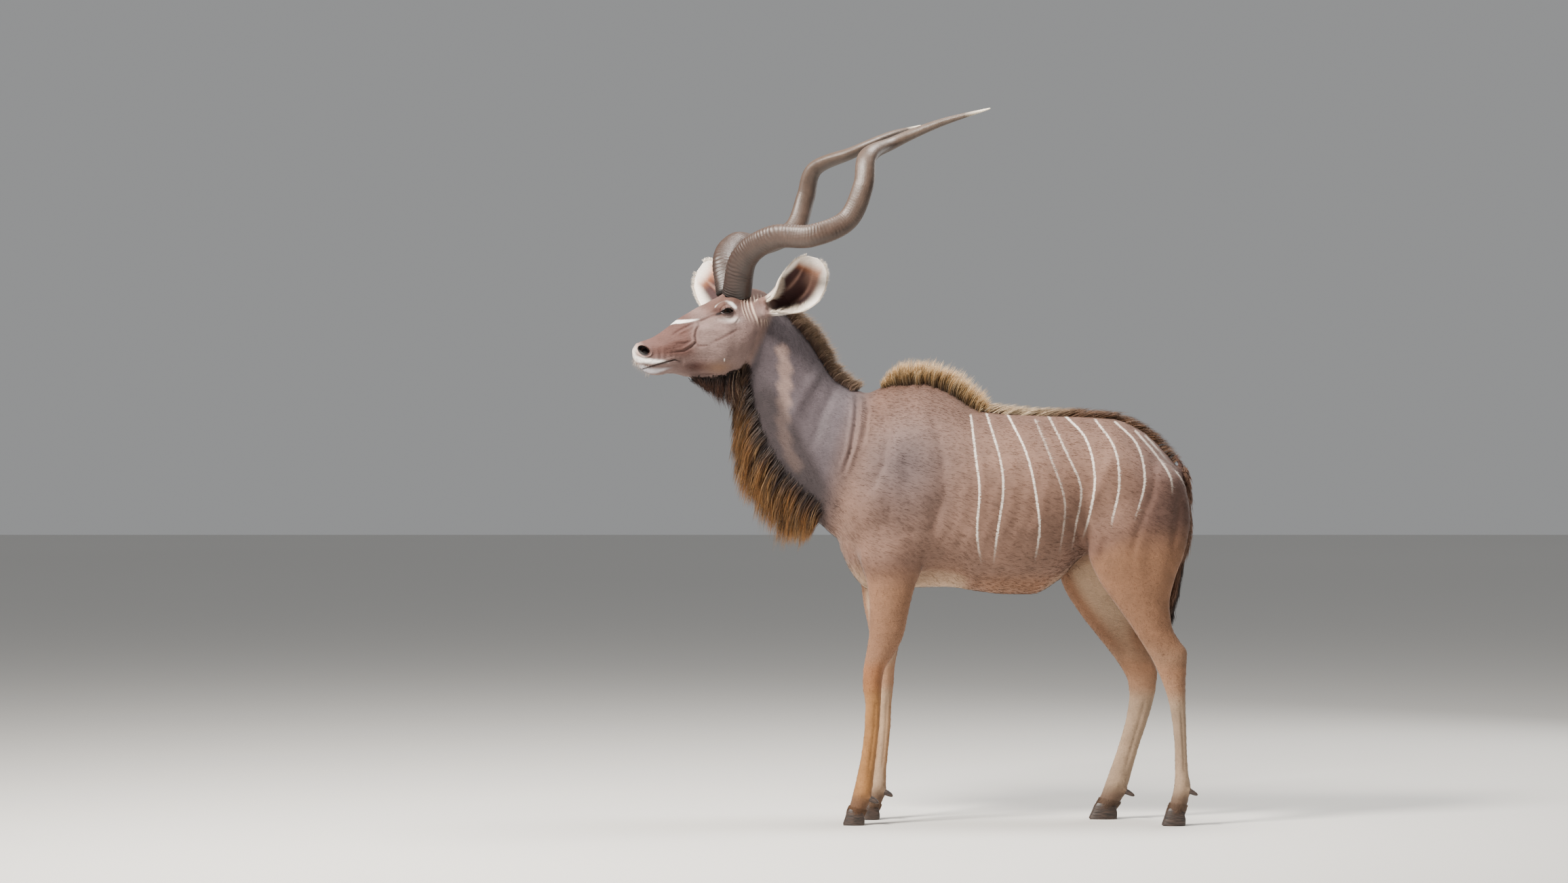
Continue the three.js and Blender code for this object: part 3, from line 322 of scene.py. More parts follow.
def on_right(points: Array) -> Array:
    """Bring points to the right side, so that both sides read alike."""
    return np.stack([points[:, 0], np.abs(points[:, 1]), points[:, 2]], axis=1)


def blob(points: Array, at: tuple, reach: tuple) -> Array:
    """A soft spot: 1 at its middle, falling to 0 beyond its reach, the same on both sides."""
    return np.exp(-(((on_right(points) - at) / np.array(reach)) ** 2).sum(axis=1))


def band(points: Array, line: tuple, widths: tuple[float, float], soft: float = 2.0) -> Array:
    """A stroke along a line, the same on both sides.

    Args:
        points: Places to read.
        line: The corners of its middle line.
        widths: Its half width at the start and at the end.
        soft: How far its edge fades, in millimetres.

    Returns:
        1 inside the stroke and 0 outside, for each point.
    """
    far, share = line_distance(on_right(points), np.array(line, float))
    return smoothstep(soft, -soft, far - (widths[0] + (widths[1] - widths[0]) * share))


@dataclass(frozen=True)
class Form:
    """A muscle, bone or hollow on both sides: centre, reach along x, y and z, and height."""

    at: tuple[float, float, float]
    reach: tuple[float, float, float]
    height: float

    def push(self, points: Array) -> Array:
        """How far the form lifts the surface at each point."""
        return self.height * blob(points, self.at, self.reach)


@dataclass(frozen=True)
class Crease:
    """A ridge, blood vessel or furrow along a line: x and z of its points, half width, height or depth."""

    line: tuple
    half_width: float
    height: float

    def push(self, points: Array) -> Array:
        """How far the crease lifts the surface at each point, the same on both sides."""
        flat = points[:, [0, 2]]
        lift = np.zeros(len(points))
        knots = np.array(self.line, float)
        near = np.all((flat > knots.min(0) - 4 * self.half_width)
                      & (flat < knots.max(0) + 4 * self.half_width), axis=1)
        far, share = line_distance(flat[near], knots)
        ends = np.minimum(1.0, 4 * np.minimum(share, 1 - share) + 0.25)
        beside = smoothstep(3, 24, np.abs(points[near, 1]))
        lift[near] = self.height * ends * beside * np.exp(-(far / self.half_width) ** 2)
        return lift


class Build(Enum):
    """How the numbers of a station are read."""

    TRUNK = "trunk"
    NECK = "neck"
    LIMB = "limb"


@dataclass
class Loft:
    """A closed skin over stations."""

    rows: tuple
    build: Build = Build.TRUNK
    side: int = 1
    forms: tuple = ()
    in_head: bool = False
    shrink: float = COAT_DEPTH

    def __post_init__(self) -> None:
        """Prepare the curve through the stations."""
        self.read = Reader(self.rows)
        self.last = len(self.rows) - 1

    def points(self, place: Array, angle: Array | float) -> Array:
        """Points of the surface of the solids.

        Args:
            place: Places along the loft, counted in stations.
            angle: Turns round it in radians, from the lower profile line at -pi/2 to the upper at pi/2.

        Returns:
            The points, in the body's frame.
        """
        row = np.moveaxis(self.read(place), -1, 0)
        if self.build is Build.TRUNK:
            ax, az, bx, bz, half, top, bottom = row
            y = np.zeros_like(ax)
        elif self.build is Build.NECK:
            ax, az, bx, bz, half, y, top, bottom = row
        else:
            ax, az, bx, bz, y, half = row
            y, top, bottom = y * self.side, 0.1, 0.2
        angle = angle + np.zeros_like(ax)
        sine, cosine = np.sin(angle), np.cos(angle)
        narrow = np.where(sine > 0, top, bottom)
        centre = np.stack([(ax + bx) / 2, y, (az + bz) / 2], axis=-1)
        reach = np.stack([(ax - bx) / 2 * sine, half * cosine * (1 - narrow * sine * sine),
                          (az - bz) / 2 * sine], axis=-1)
        surface = centre + reach
        flat = surface.reshape(-1, 3)
        push = sum((form.push(flat) for form in self.forms), np.zeros(len(flat)))
        surface = surface + unit(reach) * (push.reshape(surface.shape[:-1])[..., None] - self.shrink)
        return head_to_body(surface) if self.in_head else surface

    def out(self, place: Array, angle: Array | float) -> Array:
        """The way from the middle of the loft to its surface."""
        middle = (self.points(place, NAPE) + self.points(place, THROAT)) / 2
        return unit(self.points(place, angle) - middle)

    def shell(self, rings: int, sides: int) -> Mesh:
        """The loft as a closed mesh of rings along it and sides round it."""
        place, angle = np.meshgrid(np.linspace(0, self.last, rings), round_turn(sides), indexing="ij")
        return closed_rings(self.points(place, angle))


def round_turn(sides: int) -> Array:
    """Angles of the points round a ring."""
    return np.arange(sides) * 2 * math.pi / sides


def across_frame(along: Array, hint: tuple) -> tuple[Array, Array]:
    """Two directions across a way, the first square to the hint."""
    first = unit(np.cross(along, hint))
    return first, np.cross(along, first)


def tube(path: Array, radius: Array, first: Array, second: Array, sides: int) -> Array:
    """Rings round a path.

    Args:
        path: The middle of each ring.
        radius: The radius of each ring.
        first: The way from the middle to a ring's start, one or one for each ring.
        second: The way a quarter turn on.
        sides: Points round each ring.

    Returns:
        An array of rings by points by 3.
    """
    turn = round_turn(sides)[:, None]
    spokes = np.cos(turn) * first[..., None, :] + np.sin(turn) * second[..., None, :]
    return path[:, None] + np.reshape(radius, (-1, 1, 1)) * spokes


def closed_rings(rings: Array, folded: bool = False) -> Mesh:
    """Join rings of points into a closed mesh with a fan over each end.

    Args:
        rings: An array of rings by points by 3.
        folded: Whether each ring runs out and back along a bent sheet, so that a strip closes its ends.

    Returns:
        Points and triangles.
    """
    count, sides = rings.shape[:2]
    last = (count - 1) * sides
    a = np.arange(last).reshape(count - 1, sides)
    b = np.roll(a, -1, axis=1)
    walls = np.stack([a, b, a + sides, b, b + sides, a + sides], axis=-1).reshape(-1, 3)
    if folded:
        i = np.arange(sides // 2 - 1)
        strip = np.concatenate([np.stack([i, i + 1, sides - 1 - i], axis=1),
                                np.stack([i + 1, sides - 2 - i, sides - 1 - i], axis=1)])
        points, caps = rings.reshape(-1, 3), [strip[:, ::-1], strip + last]
    else:
        first = np.arange(sides)
        after = np.roll(first, -1)
        hub = np.full(sides, count * sides)
        points = np.concatenate([rings.reshape(-1, 3), rings[[0, -1]].mean(axis=1)])
        caps = [np.stack([after, first, hub], axis=1),
                np.stack([first + last, after + last, hub + 1], axis=1)]
    return points, outward(points, np.concatenate([walls, *caps]))


def outward(points: Array, faces: Array) -> Array:
    """Turn the faces of a closed mesh, all triangles or all quads, so that they look outwards."""
    a, b, c, d = (points[faces[:, k]] - points.mean(axis=0) for k in (0, 1, 2, -1))
    volume = (np.cross(a, b) * c).sum() + (np.cross(a, c) * d).sum()
    return faces if volume > 0 else faces[:, ::-1]


def joined(shells: list) -> Mesh:
    """Put several meshes, each points and faces, into one."""
    starts = np.cumsum([0] + [len(points) for points, _ in shells[:-1]])
    faces = [faces + start for (_, faces), start in zip(shells, starts)]
    return np.concatenate([points for points, _ in shells]), np.concatenate(faces)


def new_piece(name: str, shape: Mesh, material: Material, slot: str, *solids: str) -> bpy.types.Object:
    """Make a piece that rides on the body.

    Args:
        name: The piece's name.
        shape: Points, in millimetres in the working frame, and faces with the same number of corners.
        material: Its finish.
        slot: Not used.
        solids: The solids that it stands for.

    Returns:
        The new object.
    """
    points, faces = shape
    faces = outward(points, faces)
    mesh = bpy.data.meshes.new(name)
    mesh.vertices.add(len(points))
    mesh.vertices.foreach_set("co", ((points + ORIGIN) * MM).astype(np.float32).ravel())
    mesh.loops.add(faces.size)
    mesh.loops.foreach_set("vertex_index", faces.astype(np.int32).ravel())
    mesh.polygons.add(len(faces))
    mesh.polygons.foreach_set("loop_start", np.arange(0, faces.size, faces.shape[1], dtype=np.int32))
    mesh.update(calc_edges=True)
    mesh.validate()
    mesh.polygons.foreach_set("use_smooth", np.ones(len(mesh.polygons), dtype=bool))
    mesh.materials.append(material)
    piece = bpy.data.objects.new(name, mesh)
    bpy.context.scene.collection.objects.link(piece)
    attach(piece, "root")
    if solids:
        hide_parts(*solids)
    LOG.info("%s: %d faces", name, len(faces))
    return piece


def paint_points(piece: bpy.types.Object, name: str, values: Array) -> None:
    """Store a number, or a colour of 3 numbers, for each point of a piece.

    Args:
        piece: The object.
        name: The attribute's name, which its material reads.
        values: The number or colour of each point.
    """
    if values.ndim == 1:
        attribute = piece.data.attributes.new(name, "FLOAT", "POINT")
        attribute.data.foreach_set("value", values.astype(np.float32))
        return
    attribute = piece.data.attributes.new(name, "FLOAT_COLOR", "POINT")
    attribute.data.foreach_set("color", np.insert(values, 3, 1.0, axis=1).astype(np.float32).ravel())


class Zones:
    """Where each part of the body lies, as soft shares between 0 and 1, for points of skin or coat."""

    def __init__(self, points: Array) -> None:
        """Work out the shares for points in the body's frame."""
        self.x, self.y, self.z = x, y, z = points.T
        self.local = body_to_head(points)
        self.head = smoothstep(-22, 18, -0.9145 * (x + 552) + 0.4046 * (z - 1482))
        neck_side = -0.959 * (x + 300) + 0.283 * (z - 970)
        self.neck = smoothstep(-70, 60, neck_side) * (1 - self.head) * smoothstep(760, 860, z)
        self.fore = smoothstep(880, 740, z) * smoothstep(190, 140, x)
        below = 0.585 * (x - 577) - 0.811 * (z - 880)
        self.hind = smoothstep(-20, 40, below) * smoothstep(400, 440, x) * smoothstep(1000, 860, z)
        self.legs = np.maximum(self.fore, self.hind)
        self.trunk = np.clip(1 - self.head - self.neck - self.fore - self.hind, 0, 1)


def mixed(base: Array, code: str, share: Array) -> Array:
    """Blend an sRGB hex colour over the linear colour of each point, by its share."""
    return base + (np.array(linear(code)) - base) * np.clip(share, 0, 1)[:, None]


def layered(base: Array, layers: tuple) -> Array:
    """Blend several colours, each with its share for every point, one over the other."""
    for code, share in layers:
        base = mixed(base, code, share)
    return base


def plain(code: str, count: int) -> Array:
    """One colour for every point."""
    return np.tile(np.array(linear(code)), (count, 1))


@dataclass(frozen=True)
class KuduMarkings:
    """The colours of a greater kudu bull's coat, by part of the body."""

    flank: str = "#705548"
    back: str = "#5e4438"
    # partly the coat's own grey, partly painted shade: darker and tinted purple as coat in shade under a blue
    # sky
    shoulder: str = "#53484a"
    belly: str = "#7d5943"
    rump: str = "#5c443c"
    # partly the coat's own grey, partly painted shade: darker and tinted purple as coat in shade under a blue
    # sky
    neck: str = "#4c4347"
    neck_band: str = "#8a736b"
    throat: str = "#231b1c"
    chest: str = "#4a332c"
    thigh: str = "#604337"
    leg: str = "#7d5a42"
    leg_inner: str = "#a89078"
    leg_low: str = "#8f643a"
    leg_hind: str = "#8e7863"
    knee: str = "#83502f"
    pastern: str = "#4c372c"
    forehead: str = "#4c3127"
    cheek: str = "#705c58"
    muzzle: str = "#4f352f"
    # painted highlight: the wet nose tip made paler, as where light glints on it
    nose_highlight: str = "#94796f"
    white: str = "#ece6e2"
    chin: str = "#cfcbd2"
    jaw_dark: str = "#3c211b"
    jaw_tan: str = "#7d5c40"
    bare_dark: str = "#160b0b"
    # painted shade deep inside the nostrils
    hollow: str = "#0a0303"
    # painted shade laid into the sunken creases of the face
    groove_shade: str = "#3d2420"
    # painted highlight on the crests of the folds between eye and ear
    fold: str = "#bda998"
    mark_reach: float = 40.0  # distance from a stripe, in millimetres, that the marks hold as 1

    def pelt(self, points: Array) -> tuple[Array, Array]:
        """Colour the coat.

        Args:
            points: Places in the body's frame.

        Returns:
            The colour at each point, and its marks: stripe distance and strength, and bareness.
        """
        zone = Zones(points)
        x, y, z = zone.x, np.abs(zone.y), zone.z
        pale_neck = ((-430, 111, 1548), (-420, 111, 1480), (-425, 112, 1400), (-432, 108, 1290),
                     (-410, 95, 1210), (-385, 90, 1165))
        ragged = points + 5 * np.sin(points[:, [2, 0, 0]] / 9 + points / 14) * np.array([1, 0, 0])
        front = smoothstep(-60, -110, x + (1480 - z) * -0.55 + 400)
        knee = smoothstep(70, 20, np.abs(z - 480)) * smoothstep(200, 100, x)
        hock = smoothstep(90, 20, np.abs(z - 470)) * smoothstep(600, 640, x)
        colour = layered(plain(self.flank, len(points)), (
            (self.back, smoothstep(1180, 1360, z) * smoothstep(170, 60, y)),
            (self.rump, smoothstep(640, 800, x) * smoothstep(850, 1000, z)),
            # Shoulder grey: partly the coat's own colour, partly painted shade with a purple sky tint
            (self.shoulder, 0.8 * blob(points, (-40, 170, 1180), (170, 120, 190))),
            (self.belly, smoothstep(835, 770, z) * smoothstep(60, 290, x) * (1 - zone.hind)),
            (self.chest, smoothstep(900, 780, z) * smoothstep(120, -60, x) * (1 - zone.fore)),
            (self.thigh, smoothstep(1040, 820, z) * smoothstep(440, 560, x)),
            (self.leg, zone.legs * 0.85),
            (self.leg_low, zone.fore * smoothstep(560, 380, z)),
            (self.leg_hind, zone.hind * smoothstep(620, 400, z)),
            (self.leg_inner, zone.legs * smoothstep(92, 74, y) * 0.8),
            (self.knee, zone.fore * knee * 0.5),
            (self.knee, zone.hind * hock * 0.45),
            (self.pastern, zone.legs * smoothstep(130, 70, z) * 0.8),
            # Neck grey: partly the coat's own colour, partly painted shade with a purple sky tint
            (self.neck, zone.neck),
            (self.neck_band, 0.75 * zone.neck * band(ragged, pale_neck, (20, 20), 14)),
            (self.throat, 0.75 * zone.neck * front * smoothstep(1480, 1380, z))))
        return self.paint_head(colour, zone), self.marks(zone)

    def paint_head(self, colour: Array, zone: Zones) -> Array:
        """Lay the head's colours over the neck's.

        Args:
            colour: The colour of each point so far.
            zone: The zones of the points.

        Returns:
            The colour of each point with the head's.
        """
        spots = zone.local
        u, _, w = spots.T
        brow_line = w - (-0.55 * (u + 200) + 20) * (u < -160) - 40 * (u >= -160)
        mouth, passed = line_distance(spots[:, [0, 2]], np.array(MOUTH_LINE, float))
        ring, folds = nostril_ring(spots), fold_field(spots)
        below = (
            (self.cheek, 1.0),
            (self.forehead, 0.85 * smoothstep(-24, 24, brow_line)),
            (self.muzzle, smoothstep(-225, -290, u) * smoothstep(-150, -110, w)),
            # Painted highlight: the nose tip made paler
            (self.nose_highlight, 0.8 * smoothstep(-415, -440, u)),
            (self.forehead, 0.5 * blob(spots, (-210, 46, 24), (60, 30, 26))),
            (self.jaw_dark, blob(spots, (-250, 46, -160), (56, 60, 22))),
            (self.jaw_tan, 0.6 * blob(spots, (-170, 60, -164), (40, 50, 20))),
            # Painted shade along every sunken crease of the face, darkest on its line
            *((self.groove_shade, 0.55 * np.abs(crease.push(spots) / crease.height))
              for crease in HEAD_CREASES if crease.height < 0),
            # Lip, chin, chevron between the eyes, brow, tear line, corner of the eye
            (self.white, band(spots, ((-448, 20, -138), (-425, 40, -139), (-395, 46, -143), (-340, 44, -145)),
                              (13, 3), 6)),
            (self.chin, 0.9 * band(spots, ((-420, 14, -170), (-395, 22, -174), (-350, 28, -170),
                                           (-306, 34, -160)), (18, -4), 9)),
            # Painted highlight: a white spot on the front of the wet nose
            (self.white, 0.7 * blob(spots, (-448, 8, -118), (12, 18, 26))),
            (self.white, band(spots, ((-216, 54, 2), (-242, 42, -4), (-268, 32, -8), (-296, 20, -12),
                                      (-320, 0, -14)), (2.0, 9.0))),
            (self.white, band(spots, ((-183, 54, 35), (-168, 60, 44), (-152, 70, 49), (-138, 80, 44),
                                      (-128, 84, 34)), (3, 5), 5)),
            (self.bare_dark, band(spots, ((-174, 82, 15), (-200, 62, 6), (-222, 54, -5), (-238, 50, -12)),
                                  (5, 1.5), 3)),
            (self.jaw_dark, 0.9 * band(spots, ((-178, 76, 24), (-196, 56, 25), (-214, 48, 14)), (8, 4), 6)),
            (self.white, 0.35 * blob(spots, (-146, 92, -6), (30, 20, 9))),
            (self.bare_dark, np.clip(2.2 * blob(spots, (-155, 90, 17), (31, 26, 17)) - 1.0, 0, 1)),
            # Mouth, nostrils and the dash on the cheek
            (self.bare_dark, smoothstep(0.4 + 3.0 * smoothstep(0.0, 0.2, passed), 0.2, mouth) * (u < -300)),
            (self.bare_dark, smoothstep(1.08, 0.92, ring)),
            # Painted shade: near-black deep inside each nostril pit
            (self.hollow, smoothstep(0.95, 0.7, ring)),
            (self.white, band(spots, ((-161, 72, -134), (-158, 60, -152)), (1.5, 1.5), 1.5)))
        colour = layered(colour, ((code, zone.head * share) for code, share in below))
        for side in SIDES:
            colour = Ear(side).paint_root(colour, spots)
        # Painted highlight on the crests of the folds between eye and ear, painted shade in their furrows
        return layered(colour, ((self.fold, zone.head * np.clip(folds, 0, 1)),
                                (self.forehead, 0.9 * zone.head * np.clip(-folds, 0, 1))))

    def marks(self, zone: Zones) -> Array:
        """Work out the marks that the shader draws finely: stripe distance and strength, and bareness."""
        x, z = zone.x, zone.z
        best = np.full(len(x), self.mark_reach)
        strength = np.zeros(len(x))
        flat = np.stack([x + 6 * np.sin(z / 60) * (zone.y > 0), z], axis=1)
        near = (x > 140) & (x < 930) & (z > 780) & (zone.hind < 0.9)
        on_flank = np.maximum(smoothstep(850, 770, x), smoothstep(70, 125, np.abs(zone.y)))
        for line, power in zip(STRIPES, STRIPE_STRENGTH):
            far, share = line_distance(flat[near], side_line(line)(np.linspace(0, 1, 16))[:, [0, 2]])
            closer = far < best[near]
            best[near] = np.where(closer, far, best[near])
            fade = power * smoothstep(1.0, 0.72, share) * on_flank[near]
            strength[near] = np.where(closer, fade, strength[near])
        bare = np.clip(blob(zone.local, (-430, 34, -118), (30, 50, 34)) * 1.4, 0, 1) * zone.head
        bare = np.maximum(bare, zone.neck * 0.55) * smoothstep(0.85, 1.05, nostril_ring(zone.local))
        return np.stack([best / self.mark_reach, strength, bare], axis=1)


def nostril_ring(spots: Array) -> Array:
    """How far each place lies from the middle of a nostril, where 1 is its rim."""
    along = spots[:, 0] + 420
    level = spots[:, 2] + 108 + 0.25 * along
    ring = np.hypot(along / 19.5, level / (16.5 - 0.12 * along))
    return np.where((np.abs(spots[:, 1]) > 8) & (spots[:, 0] < -385), ring, 9.0)


def fold_field(spots: Array, spacing: float = 11.5) -> Array:
    """The folds of skin between the eye and the ear.

    Args:
        spots: Places in the head's frame.
        spacing: From one fold to the next, in millimetres.

    Returns:
        1 on the crest of a fold, -1 in a furrow and 0 away from them.
    """
    u, side, w = spots[:, 0], np.abs(spots[:, 1]), spots[:, 2]
    bend = 6 * np.sin(w / 22) + 0.12 * w
    area = (smoothstep(-112, -92, u) * smoothstep(8, -12, u) * smoothstep(84, 60, w)
            * smoothstep(-46, -10, w + 0.45 * (u + 20)) * smoothstep(18, 34, side) * smoothstep(98, 86, side))
    ragged = 0.7 + 0.3 * np.sin(w / 9 + u / 5)
    return area * ragged * np.cos(2 * math.pi * (u + bend + 2.5 * np.sin(u / 17)) / spacing)


MARKINGS = KuduMarkings()


# Muscles and hollows of the solids
BODY_FORMS = (
    Form((10, 170, 1280), (90, 90, 130), 9), Form((-205, 118, 1020), (70, 80, 90), 15),
    Form((-20, 160, 930), (90, 70, 90), 10), Form((110, 190, 960), (50, 80, 160), -7),
    Form((556, 185, 1130), (70, 80, 110), -13), Form((640, 150, 1265), (60, 70, 40), 10),
    Form((740, 175, 1060), (110, 80, 120), 12), Form((-150, 120, 1330), (60, 90, 100), -8),
)
HEAD_FORMS = (
    Form((-150, 70, 30), (48, 52, 38), 25), Form((-146, 84, 50), (34, 36, 14), 6),
    Form((-190, 72, -30), (60, 40, 22), 6), Form((-100, 76, -105), (56, 50, 56), 8),
    Form((-262, 48, -18), (52, 34, 24), -7), Form((-424, 40, -106), (24, 26, 24), 7),
    Form((-390, 44, -140), (52, 26, 13), 5), Form((-384, 20, -176), (34, 40, 12), 4),
)

# Finer relief that the solids leave to the skin
BODY_RELIEF = (
    Form((-60, 185, 1230), (24, 60, 130), 8), Form((20, 190, 1080), (70, 60, 60), 9),
    Form((-120, 165, 1060), (46, 60, 60), 11), Form((62, 170, 1010), (22, 60, 60), -8),
    Form((640, 175, 1180), (60, 60, 60), 9), Form((820, 140, 1090), (40, 60, 70), 7),
    Form((690, 180, 980), (60, 60, 90), 8), Form((556, 170, 980), (26, 60, 80), -9),
    Form((300, 210, 1230), (120, 60, 30), -6), Form((640, 110, 1320), (60, 50, 24), 7),
    Form((-260, 110, 1240), (40, 60, 110), 6), Form((-340, 100, 1330), (40, 60, 80), -5),
    Form((30, 120, 1390), (30, 70, 60), 5), Form((500, 150, 1290), (60, 60, 26), -5),
    Form((-90, 150, 860), (50, 60, 50), 6), Form((20, 140, 830), (26, 60, 40), 6),
    Form((760, 160, 880), (30, 60, 90), -5), Form((640, 150, 830), (50, 60, 70), 6),
)
BODY_CREASES = (
    Crease(((-189, 1400), (-186, 1363), (-191, 1307), (-204, 1230), (-229, 1150)), 7, -5.5),
    Crease(((-176, 1402), (-172, 1355), (-177, 1300), (-190, 1235), (-214, 1160)), 7, 4.5),
    Crease(((-160, 1402), (-150, 1350), (-158, 1290), (-168, 1240)), 7, -3.5),
    Crease(((-204, 1398), (-202, 1352), (-208, 1296), (-220, 1220), (-244, 1150)), 7, 3.5),
    Crease(((-120, 1370), (-84, 1290), (-100, 1180), (-150, 1080)), 14, -5.5),
    Crease(((60, 1330), (92, 1200), (96, 1080), (70, 960)), 18, -5.0),
    Crease(((-96, 1010), (-40, 960), (10, 950)), 14, -4.5),
    Crease(((560, 1010), (600, 940), (590, 880)), 13, 7.0),
    Crease(((500, 1010), (540, 940), (548, 890)), 16, -6.5),
    Crease(((862, 1080), (850, 980), (835, 900)), 12, -4.5),
    Crease(((-300, 1500), (-350, 1420), (-400, 1330), (-400, 1240)), 20, 4.5),
    Crease(((-250, 1440), (-300, 1340), (-330, 1240)), 16, -3.5),
    Crease(((640, 1200), (600, 1110), (570, 1040)), 16, 4.5),
    Crease(((780, 1180), (770, 1080), (720, 960), (700, 860)), 14, -4.0),
    *(Crease(((150 + 52 * i, 1240), (170 + 52 * i, 1120), (150 + 50 * i, 1000), (110 + 48 * i, 880)),
            15, 1.9) for i in range(6)),
)
HEAD_CREASES = (
    Crease(((-241, -14), (-240, -26), (-250, -41), (-254, -59), (-252, -81), (-267, -96), (-288, -109),
            (-314, -112), (-343, -116)), 3.4, -2.6),
    Crease(((-247, -14), (-248, -28), (-258, -43), (-262, -60), (-260, -76), (-276, -90), (-296, -101),
            (-318, -104)), 4.0, 2.4),
    Crease(((-252, -81), (-244, -92), (-214, -92)), 3.5, -1.8),
    Crease(((-253, -17), (-280, -30), (-302, -41), (-329, -59)), 4.0, -2.6),
    Crease(((-250, -24), (-282, -40), (-310, -54)), 5.0, 2.4),
    Crease(((-267, -76), (-293, -85), (-319, -83)), 4.5, -2.2),
    Crease(((-129, -19), (-117, -4)), 4.0, -1.8),
    Crease(((-117, -37), (-153, -55), (-180, -70), (-204, -81)), 5.0, -1.6),
    Crease(((-267, -183), (-223, -183), (-179, -181)), 4.0, -2.0),
    Crease(((-133, -178), (-120, -172), (-107, -170)), 4.0, -3.0),
    Crease(((-176, 15), (-200, 6), (-222, -5), (-240, -12)), 4.0, -3.0),
    Crease(((-182, 36), (-160, 46), (-134, 42)), 5.0, 3.0),
    Crease(((-178, -2), (-155, -10), (-132, -4)), 4.0, -1.6),
)
HEAD_RELIEF = (
    Form((-176, 88, -18), (34, 40, 9), 3.6), Form((-222, 66, -16), (22, 40, 12), -4.5),
    Form((-212, 72, -40), (44, 40, 12), 3.2), Form((-250, 62, -62), (26, 40, 20), -3.0),
    Form((-96, 80, -70), (34, 50, 60), 5.0), Form((-52, 70, -96), (13, 50, 60), -5.0),
    Form((-150, 84, -130), (44, 50, 22), 4.0), Form((-228, 56, -128), (40, 40, 18), -3.5),
    Form((-300, 44, -78), (40, 30, 12), 3.4), Form((-352, 42, -92), (26, 30, 14), 3.4),
    Form((-376, 40, -74), (20, 30, 14), -3.2), Form((-392, 40, -146), (46, 30, 8), 3.2),
    Form((-330, 40, -166), (40, 30, 8), 2.6), Form((-296, 40, -142), (9, 30, 10), -3.6),
    Form((-136, 66, 58), (30, 24, 10), 4.0), Form((-212, 34, 36), (40, 18, 20), -3.5),
    Form((-60, 84, 8), (24, 30, 30), -4.0), Form((-112, 88, 20), (14, 30, 26), -3.0),
)
MOUTH_LINE = ((-301, -141), (-318, -136), (-342, -142), (-376, -151), (-401, -160), (-420, -167),
              (-452, -172))


def smoothed(points: Array, edges: Array, weight: Array, passes: int) -> Array:
    """Relax points towards the middle of their neighbours.

    Args:
        points: The mesh's points.
        edges: Pairs of point numbers.
        weight: How far each point moves, from 0 to 1.
        passes: How often it is done.

    Returns:
        The relaxed points.
    """
    moved = points.copy()
    a, b = edges.T
    count = len(points)
    links = np.maximum(np.bincount(a, minlength=count) + np.bincount(b, minlength=count), 1)[:, None]
    for _ in range(passes):
        total = np.stack([np.bincount(a, column[b], count) + np.bincount(b, column[a], count)
                          for column in moved.T], axis=1)
        moved += (total / links - moved) * weight[:, None]
    return moved


def edges_of(faces: Array) -> Array:
    """Every edge of triangles once, as pairs of point numbers."""
    pairs = np.concatenate([faces[:, [k, (k + 1) % 3]] for k in range(3)])
    return np.unique(np.sort(pairs, axis=1), axis=0)


def point_normals(points: Array, faces: Array) -> Array:
    """The way out of the surface at each point of a mesh of triangles."""
    a, b, c = (points[faces[:, k]] for k in range(3))
    cross = np.cross(c - a, c - b)
    total = np.stack([sum(np.bincount(corner, column, len(points)) for corner in faces.T)
                      for column in cross.T], axis=1)
    return unit(total)


def fused(shells: list, voxel: float) -> Mesh:
    """Fuse overlapping closed meshes into one skin of triangles.

    Args:
        shells: Meshes, each points and triangles, in millimetres.
        voxel: The size of the new faces in millimetres.

    Returns:
        Points and triangles of the one skin.
    """
    points, faces = joined(shells)
    mesh = bpy.data.meshes.new("fusing")
    mesh.from_pydata((points * MM).tolist(), [], faces.tolist())
    maker = bpy.data.objects.new("fusing", mesh)
    bpy.context.scene.collection.objects.link(maker)
    remesh = maker.modifiers.new("fuse", "REMESH")
    remesh.mode = "VOXEL"
    remesh.voxel_size = voxel * MM
    whole = bpy.data.meshes.new_from_object(maker.evaluated_get(bpy.context.evaluated_depsgraph_get()))
    whole.calc_loop_triangles()
    found = np.empty(len(whole.vertices) * 3, np.float32)
    whole.vertices.foreach_get("co", found)
    corners = np.empty(len(whole.loop_triangles) * 3, np.int32)
    whole.loop_triangles.foreach_get("vertices", corners)
    bpy.data.objects.remove(maker)
    for spare in (mesh, whole):
        bpy.data.meshes.remove(spare)
    return found.reshape(-1, 3).astype(float) / MM, corners.reshape(-1, 3).astype(np.int64)


